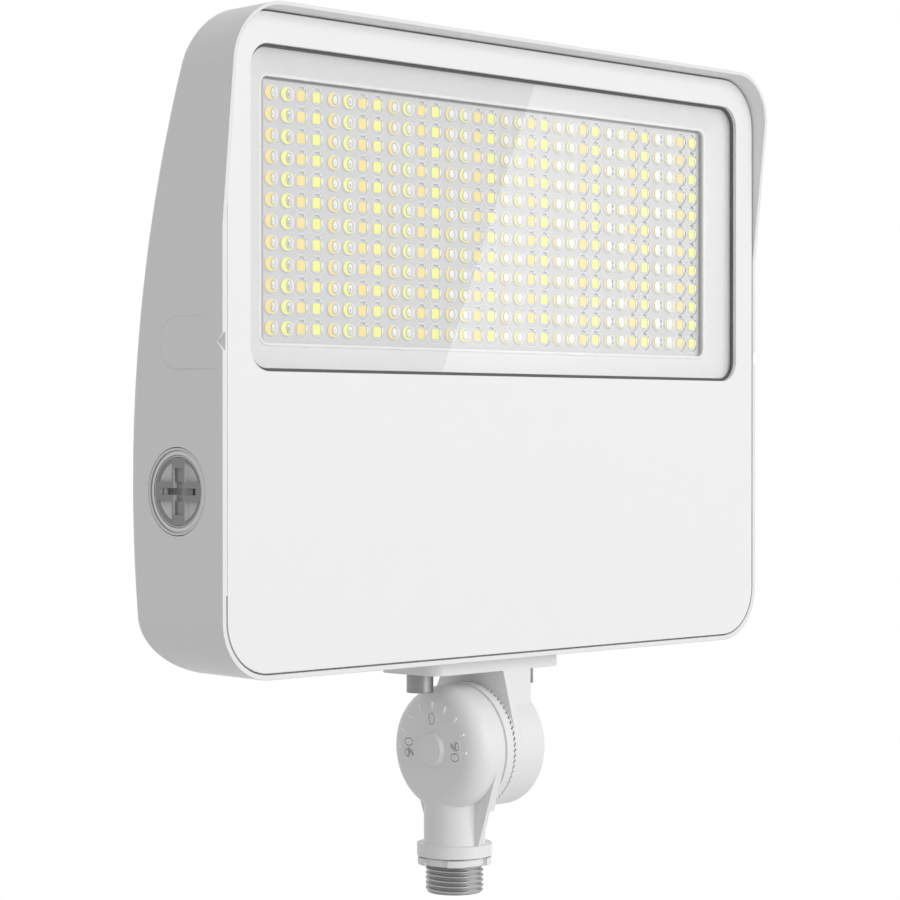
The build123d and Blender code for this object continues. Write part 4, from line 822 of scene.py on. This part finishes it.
# Tilt scale on the knuckle: nine ticks and the plain numbers 0 and 90
def text_piece(name, words, place, turn, stroke, proud, skin):
    """Raised digits that face away from the drum's left side, their tops turned outwards."""
    curve = bpy.data.curves.new(name, "FONT")
    curve.body = words
    curve.size = DIGIT_SIZE * MM
    curve.align_x = "CENTER"
    curve.align_y = "CENTER"
    curve.extrude = proud * MM
    curve.offset = stroke * MM
    made = bpy.data.objects.new(name + "_curve", curve)
    bpy.context.scene.collection.objects.link(made)
    bpy.context.view_layer.update()
    mesh = bpy.data.meshes.new_from_object(made)
    bpy.data.objects.remove(made)
    piece = bpy.data.objects.new(name, mesh)
    bpy.context.scene.collection.objects.link(piece)
    face = Matrix(((0, 0, -1), (-1, 0, 0), (0, 1, 0))).to_4x4()
    spin = Matrix.Rotation(turn, 4, "X")
    wide = Matrix.Diagonal((DIGIT_WIDE, 1.0, 1.0, 1.0))
    piece.matrix_world = Matrix.Translation(Vector(place) * MM) @ spin @ face @ wide
    mesh.materials.clear()
    mesh.materials.append(skin)
    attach(piece, "arm")


def tilt_scale():
    points, faces = [], []
    for i in range(TICKS):
        turn = math.radians(TICK_STEP * (i - (TICKS - 1) / 2))
        along = Vector((0, math.sin(turn), math.cos(turn)))
        across = Vector((0, math.cos(turn), -math.sin(turn)))
        centre = Vector((DRUM_FACE_X, 0, AXIS_Z)) + along * TICK_R
        first = len(points)
        for dx in (TICK_SUNK, -TICK_PROUD):
            for side, end in ((-1, -1), (1, -1), (1, 1), (-1, 1)):
                spot = centre + across * side * TICK_HALF_W + along * end * TICK_HALF_L
                points.append((spot.x + dx, spot.y, spot.z))
        for face in ((4, 5, 6, 7), (0, 1, 5, 4), (1, 2, 6, 5), (2, 3, 7, 6), (3, 0, 4, 7)):
            faces.append([first + k for k in face])
    mesh_piece("scale_ticks", points, faces, [mark_paint], "arm", smooth=False)
    digits = (
        ("zero", "0", (0, ZERO_UP), 0.0),
        ("ninety_rear", "90", (NINETY_OUT, 0), -TURN / 4),
        ("ninety_front", "90", (-NINETY_OUT, 0), TURN / 4),
    )
    for name, words, (y, up), turn in digits:
        place = (DRUM_FACE_X, y, AXIS_Z + up)
        text_piece("scale_" + name, words, place, turn, DIGIT_STROKE, DIGIT_PROUD, mark_paint)
        inlay = "scale_" + name + "_inlay"
        text_piece(inlay, words, place, turn, INLAY_STROKE, INLAY_PROUD, mark_shade)


tilt_scale()


# Stage: a pale floor and a surrounding that reads as white, with one soft lamp
def seen_rays(tree):
    """1 for the rays by which the eye, mirrors and glass see a surface, 0 for those that light it."""
    path = node(tree, "ShaderNodeLightPath")
    total = path.outputs["Is Camera Ray"]
    for kind in ("Is Glossy Ray", "Is Transmission Ray"):
        larger = node(tree, "ShaderNodeMath", operation="MAXIMUM")
        tree.links.new(total, larger.inputs[0])
        tree.links.new(path.outputs[kind], larger.inputs[1])
        total = larger.outputs[0]
    return total


def seen_or_lit(tree, output, lit, seen):
    """One output for the rays that light the lamp, another for the rays that see."""
    mixer = node(tree, "ShaderNodeMixShader")
    tree.links.new(seen_rays(tree), mixer.inputs["Fac"])
    tree.links.new(lit, mixer.inputs[1])
    tree.links.new(seen, mixer.inputs[2])
    tree.links.new(mixer.outputs["Shader"], output.inputs["Surface"])


def plain_white(name, tone):
    material, tree, output = new_material(name)
    diffuse = node(tree, "ShaderNodeBsdfDiffuse", Color=(*grey(tone), 1.0))
    glow = node(tree, "ShaderNodeEmission", Color=WHITE, Strength=SHOWN)
    seen_or_lit(tree, output, diffuse.outputs["BSDF"], glow.outputs["Emission"])
    return material


def lit_world():
    world = bpy.data.worlds.new("studio")
    bpy.context.scene.world = world
    world.use_nodes = True
    tree = world.node_tree
    tree.nodes.clear()
    output = tree.nodes.new("ShaderNodeOutputWorld")
    ambient = node(tree, "ShaderNodeBackground", Color=WHITE, Strength=AMBIENT)
    shown = node(tree, "ShaderNodeBackground", Color=WHITE, Strength=SHOWN)
    seen_or_lit(tree, output, ambient.outputs["Background"], shown.outputs["Background"])


def face_towards(thing, direction):
    """Turns a lamp or camera so that it looks along a direction, with its top up."""
    thing.rotation_mode = "QUATERNION"
    thing.rotation_quaternion = direction.to_track_quat("-Z", "Y")


def area_lamp(name, place, target, size, power):
    lamp = bpy.data.lights.new(name, "AREA")
    lamp.shape = "SQUARE"
    lamp.size = size
    lamp.energy = power
    made = bpy.data.objects.new(name, lamp)
    bpy.context.scene.collection.objects.link(made)
    made.location = place
    face_towards(made, Vector(target) - Vector(place))


def flat_sheet(name, corners, material):
    mesh = bpy.data.meshes.new(name)
    mesh.from_pydata(corners, [], [(0, 1, 2, 3)])
    mesh.materials.append(material)
    sheet = bpy.data.objects.new(name, mesh)
    bpy.context.scene.collection.objects.link(sheet)
    return sheet


def card_glow():
    """Light that falls off from the card's left edge to the right."""
    material, tree, output = new_material("card_glow")
    place = node(tree, "ShaderNodeTexCoord").outputs["Object"]
    split = node(tree, "ShaderNodeSeparateXYZ")
    tree.links.new(place, split.inputs[0])
    fall = ramp(tree, split.outputs["X"], CARD_FADE_FROM, CARD_FADE_TO, CARD_BRIGHT, CARD_DIM)
    glow = node(tree, "ShaderNodeEmission", Color=WHITE)
    tree.links.new(fall, glow.inputs["Strength"])
    tree.links.new(glow.outputs["Emission"], output.inputs["Surface"])
    return material


def mirror_card():
    """A card that only mirrors see: its slanted left edge and its fading run show in the glass."""
    top = (CARD_LEFT_TOP, CARD_Y, CARD_TOP), (CARD_RIGHT, CARD_Y, CARD_TOP)
    low = (CARD_RIGHT, CARD_Y, CARD_LOW), (CARD_LEFT_LOW, CARD_Y, CARD_LOW)
    card = flat_sheet("mirror_card", [*top, *low], card_glow())
    card.visible_camera = False
    card.visible_diffuse = False
    card.visible_transmission = False
    card.visible_shadow = False


def pale_floor():
    corners = [(x, y, FLOOR_Z) for x, y in block(FLOOR_HALF, FLOOR_HALF)]
    floor = flat_sheet("floor", corners, plain_white("floor_white", FLOOR_TONE))


mirror_card()
lit_world()
pale_floor()
area_lamp("key", KEY_PLACE, KEY_TARGET, KEY_SIZE, KEY_POWER)


def photo_camera():
    data = bpy.data.cameras.new("camera")
    data.sensor_width = CAMERA_SENSOR
    data.lens = CAMERA_LENS
    camera = bpy.data.objects.new("camera", data)
    bpy.context.scene.collection.objects.link(camera)
    camera.location = CAMERA_PLACE
    yaw, down = math.radians(CAMERA_YAW), math.radians(CAMERA_DOWN)
    level = math.cos(down)
    face_towards(camera, Vector((math.sin(yaw) * level, math.cos(yaw) * level, -math.sin(down))))
    return camera


bpy.context.scene.camera = photo_camera()
bpy.context.scene.view_settings.view_transform = "Standard"
